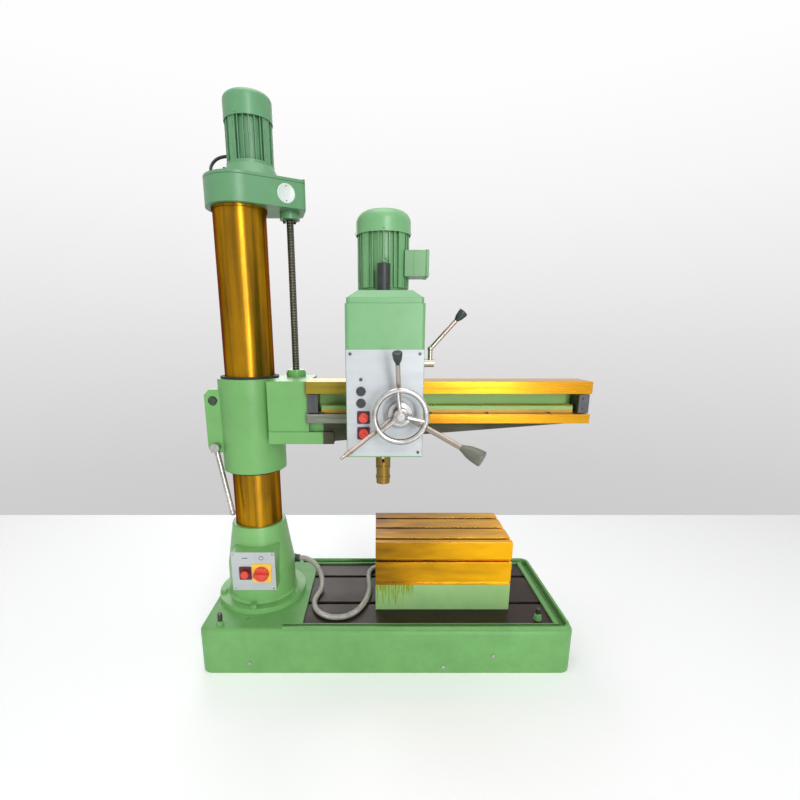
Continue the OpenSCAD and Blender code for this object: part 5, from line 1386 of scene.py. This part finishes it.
@dataclass
class LiftHead:
    """Gearbox and motor on the column's top."""

    cable_radius: float = 0.0055
    cowl_turns: tuple[float, ...] = (-106.0, -16.0, 74.0, 164.0)
    badge_at: Span = (0.1757, -0.0353)
    badge_drop: float = 0.041
    badge_turn: float = -61.46
    badge_radius: float = 0.0315
    badge_sunk: float = 0.0002
    rivet_radius: float = 0.0022

    def build(self) -> None:
        """Builds the lift head's cable, badge and cowl screws."""
        self.cable()
        self.badge()
        cowl = "lift_motor_cowl"
        SHOP.cowl_screws("lift_cowl_screws", cowl, self.cowl_turns, "lift_head", "lift_paint")

    def cable(self) -> None:
        """Runs the motor's cable from its connection box to the gearbox lid."""
        path = smooth_path(CABLE_ROUTE, 0.005)
        cable = SHOP.tube("lift_cable", path, self.cable_radius)
        SHOP.set(cable, "lift_head", "cable_skin", "rubber_black", ["lift_motor_cable"])

    def badge(self) -> None:
        """Fixes a bare round plate on the gearbox's front wall."""
        turn = math.radians(self.badge_turn)
        out = Vector((math.cos(turn), math.sin(turn), 0.0))
        at = Vector((*self.badge_at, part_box("lift_gearbox")[1].z - self.badge_drop))
        aimed = out.to_track_quat("Z", "Y").to_matrix().to_4x4()
        place = Matrix.Translation(at - out * self.badge_sunk) @ aimed
        r = self.badge_radius
        profile = [
            (r, 0.0), (r, 0.0012), (r - 0.001, 0.002), (r - 0.003, 0.002), (r - 0.004, 0.0014),
            (0.001, 0.0014),
        ]
        plate = SHOP.lathe("gearbox_badge", profile, place, 56)
        SHOP.set(plate, "lift_head", "badge_white", "panel_grey")
        spots = [(tuple(at + out * 0.0013 + UP * s * (r - 0.008)), tuple(out)) for s in (-1, 1)]
        SHOP.screws(
            "badge_rivets", spots, ScrewKind.RIVET, self.rivet_radius, "lift_head", "dark_steel",
            "dark_steel",
        )


@dataclass
class Arm:
    """Sleeve, beam, rack and clamp."""

    ledge_screws: tuple[float, ...] = (0.30, 0.47, 0.68, 0.88, 1.10)
    ledge_in: float = 0.026
    screw_radius: float = 0.0045

    def build(self) -> None:
        """Sets the small screws along the lower way's ledge."""
        low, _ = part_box("arm_rack")
        way_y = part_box("arm_casting")[0].y
        spots = [((x, way_y + self.ledge_in, low.z), tuple(UP)) for x in self.ledge_screws]
        SHOP.screws(
            "way_screws", spots, ScrewKind.CAP, self.screw_radius, "arm", "dark_steel", "dark_steel",
        )


@dataclass
class DrillHead:
    """Head casting with its motor, front plate and controls."""

    dial_radius: float = 0.047
    ticks: int = 60
    tick: Point = (0.008, 0.0005, 0.0012)
    hub: Point = (0.556, -0.451, 1.036)
    rake: float = 25.0
    side_tip: Point = (0.729, -0.33, 1.3)
    side_aim: Point = (0.075, 0.0, 0.084)
    side_grip: Span = (0.036, 0.015)
    knob_profile: tuple[Span, ...] = (
        (0.40, 0.0), (0.43, 0.03), (0.47, 0.09), (0.56, 0.17), (0.68, 0.26), (0.78, 0.36), (0.85, 0.48),
        (0.91, 0.62), (0.96, 0.76), (0.99, 0.87), (0.99, 0.92), (0.96, 0.965), (0.90, 0.99), (0.80, 1.0),
        (0.05, 1.0),
    )
    feed_grips: dict[str, tuple[float, float, float, float, str]] = field(default_factory=lambda: {
        "short_handle_knob": (94.0, 0.16, 0.036, 0.014, "knob_plastic"),
        "long_handle_knob": (-26.0, 0.205, 0.068, 0.023, "knob_olive"),
    })
    cowl_turns: tuple[float, ...] = (-90.0, 0.0, 90.0, 180.0)
    lug_profile: tuple[Span, ...] = (
        (0.0085, -0.012), (0.0085, 0.002), (0.0075, 0.004), (0.0045, 0.004), (0.0042, 0.001),
    )
    lug_off: Point = (0.004, -0.083, 0.016)
    cover_proud: float = 0.0015
    cover_deep: float = 0.009
    cover_soft: float = 0.0022
    cover_inset: float = 0.009
    cover_screw: float = 0.004

    def build(self) -> None:
        """Builds the head's motor fittings, dial and knobs."""
        self.motor_fittings()
        self.terminal_cover()
        self.dial()
        self.knobs()

    def motor_fittings(self) -> None:
        """Sets the cowl's screws and the earth lug."""
        cowl = "head_motor_cowl"
        centre = SHOP.cowl_screws("head_cowl_screws", cowl, self.cowl_turns, "head", "head_paint")
        base = Vector((centre.x, centre.y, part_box("spindle_guard")[1].z))
        place = Matrix.Translation(base + Vector(self.lug_off)) @ Matrix.Rotation(math.pi / 2, 4, "X")
        lug = SHOP.lathe("earth_lug", self.lug_profile, place, 28)
        SHOP.set(lug, "head", "head_paint", "green_paint")

    def terminal_cover(self) -> None:
        """Lays the terminal box's cover and its four screws."""
        low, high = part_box("terminal_box_lid")
        proud, inset = self.cover_proud, self.cover_inset
        plate = SHOP.block(
            "terminal_cover", (high.x - self.cover_deep, low.y - proud, low.z - proud),
            (high.x + proud, high.y + proud, high.z + proud), self.cover_soft,
        )
        SHOP.set(plate, "head", "shaded_box_paint", "green_paint")
        spots = [
            ((high.x + proud, y, z), (1.0, 0.0, 0.0))
            for y in (low.y + inset, high.y - inset) for z in (low.z + inset, high.z - inset)
        ]
        SHOP.screws(
            "terminal_screws", spots, ScrewKind.PAN, self.cover_screw, "head", "bright_steel", "bright_steel",
        )

    def dial(self) -> None:
        """Prints a plain feed scale around the hub."""
        low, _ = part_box("front_plate")
        hub_low, hub_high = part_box("feed_hub")
        centre = Vector(((hub_low.x + hub_high.x) / 2, low.y, (hub_low.z + hub_high.z) / 2))
        seed = bpy.data.objects.new("dial_seed", bpy.data.meshes.new("dial_seed"))
        bpy.context.scene.collection.objects.link(seed)
        inputs = {
            "Count": self.ticks, "Radius": self.dial_radius, "Sweep": math.tau, "Mark": self.tick,
            "Ink": PALETTE.get("print_ink"),
        }
        marks = SHOP.grow("feed_scale", seed, SHOP.tick_tree(), inputs)
        marks.data.transform(Matrix.Translation(centre))
        SHOP.set(marks, "head", "print_ink", "black_plastic")

    def knobs(self) -> None:
        """Turns the lever knobs and puts them in place of the plain ones."""
        hub = Vector(self.hub)
        rake = math.radians(self.rake)
        for name, (turn, reach, long, radius, finish) in self.feed_grips.items():
            t = math.radians(turn)
            aim = Vector((math.cos(rake) * math.cos(t), -math.sin(rake), math.cos(rake) * math.sin(t)))
            grip = self.knob(name, hub + aim * reach, aim, long, radius)
            SHOP.set(grip, "feed", finish, "grey_green_knob", ["feed_knobs"])
        aim = Vector(self.side_aim).normalized()
        grip = self.knob("side_knob", Vector(self.side_tip), aim, *self.side_grip)
        SHOP.set(grip, "side", "knob_plastic", "grey_green_knob", ["side_lever_knob"])

    def knob(self, name: str, at: Vector, aim: Vector, long: float, radius: float) -> bpy.types.Object:
        """Turns one lever knob with a narrow neck and a broad flat end.

        Args:
            name: the knob's name.
            at: the end of the lever's rod.
            aim: direction along the rod.
            long: the knob's length.
            radius: its largest radius.

        Returns:
            The knob.
        """
        place = Matrix.Translation(at) @ aim.to_track_quat("Z", "Y").to_matrix().to_4x4()
        profile = [(r * radius, z * long) for r, z in self.knob_profile]
        return SHOP.lathe(name, profile, place, 40)


NODE_FINISH: dict[str, tuple[str, ...]] = {
    "base_paint": ("base_casting",),
    "table_paint": ("work_table",),
    "arm_paint": ("arm_casting",),
    "column_steel": ("column", "column_bearing"),
    "spindle_steel": ("spindle",),
    "rack_paint": ("arm_rack",),
    "green_paint": ("column_pedestal", "pedestal_bolts", "lift_nut"),
    "lift_paint": ("lift_gearbox", "lift_gearbox_lid", "lift_motor_cowl"),
    "lift_fin_paint": ("lift_motor_frame",),
    "head_paint": ("head_casting", "head_cover", "head_motor_cowl"),
    "head_fin_paint": ("head_motor_frame",),
    "shaded_box_paint": ("terminal_box", "terminal_box_lid"),
    "levelling_paint": ("levelling_screws",),
    "bright_steel": (
        "stand_screws", "lift_motor_rotor", "lift_idler", "clamp_lever", "head_keepers",
        "head_motor_rotor", "spindle_gear", "quill", "feed_hub", "handwheel",
    ),
    "rod_steel": ("feed_handles", "side_lever"),
    "dark_steel": (
        "lift_fasteners", "arm_bolts", "arm_end_stops", "plate_screws", "spindle_bearings",
        "conduit_glands",
    ),
    "screw_steel": ("lift_screw",),
    "rubber_black": ("sleeve_wipers", "lift_motor_cable"),
    "black_plastic": ("spindle_guard", "raise_button", "lower_button"),
    "bezel_paint": ("control_bezels",),
    "plum_plastic": ("stop_plate",),
    "knob_plastic": ("feed_knobs", "side_lever_knob"),
    "red_plastic": ("isolator_knob", "stop_button", "selector_knob", "emergency_knob"),
    "yellow_plastic": ("isolator_plate",),
    "plate_alloy": ("switch_plate", "front_plate"),
    "conduit_skin": ("conduit",),
}


def dress_solids() -> None:
    """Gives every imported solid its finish."""
    for finish, nodes in NODE_FINISH.items():
        for node in nodes:
            PALETTE.dress(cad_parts[node], finish)
    LOG.info("%d solids dressed", len(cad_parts))


def main() -> None:
    """Builds the studio and the drill's sub-assemblies in order."""
    logging.basicConfig(level=logging.INFO, format="%(name)s: %(message)s")
    Studio().build()
    dress_solids()
    for part in (Stand(), LiftHead(), Arm(), DrillHead()):
        part.build()


if __name__ == "__main__":
    main()
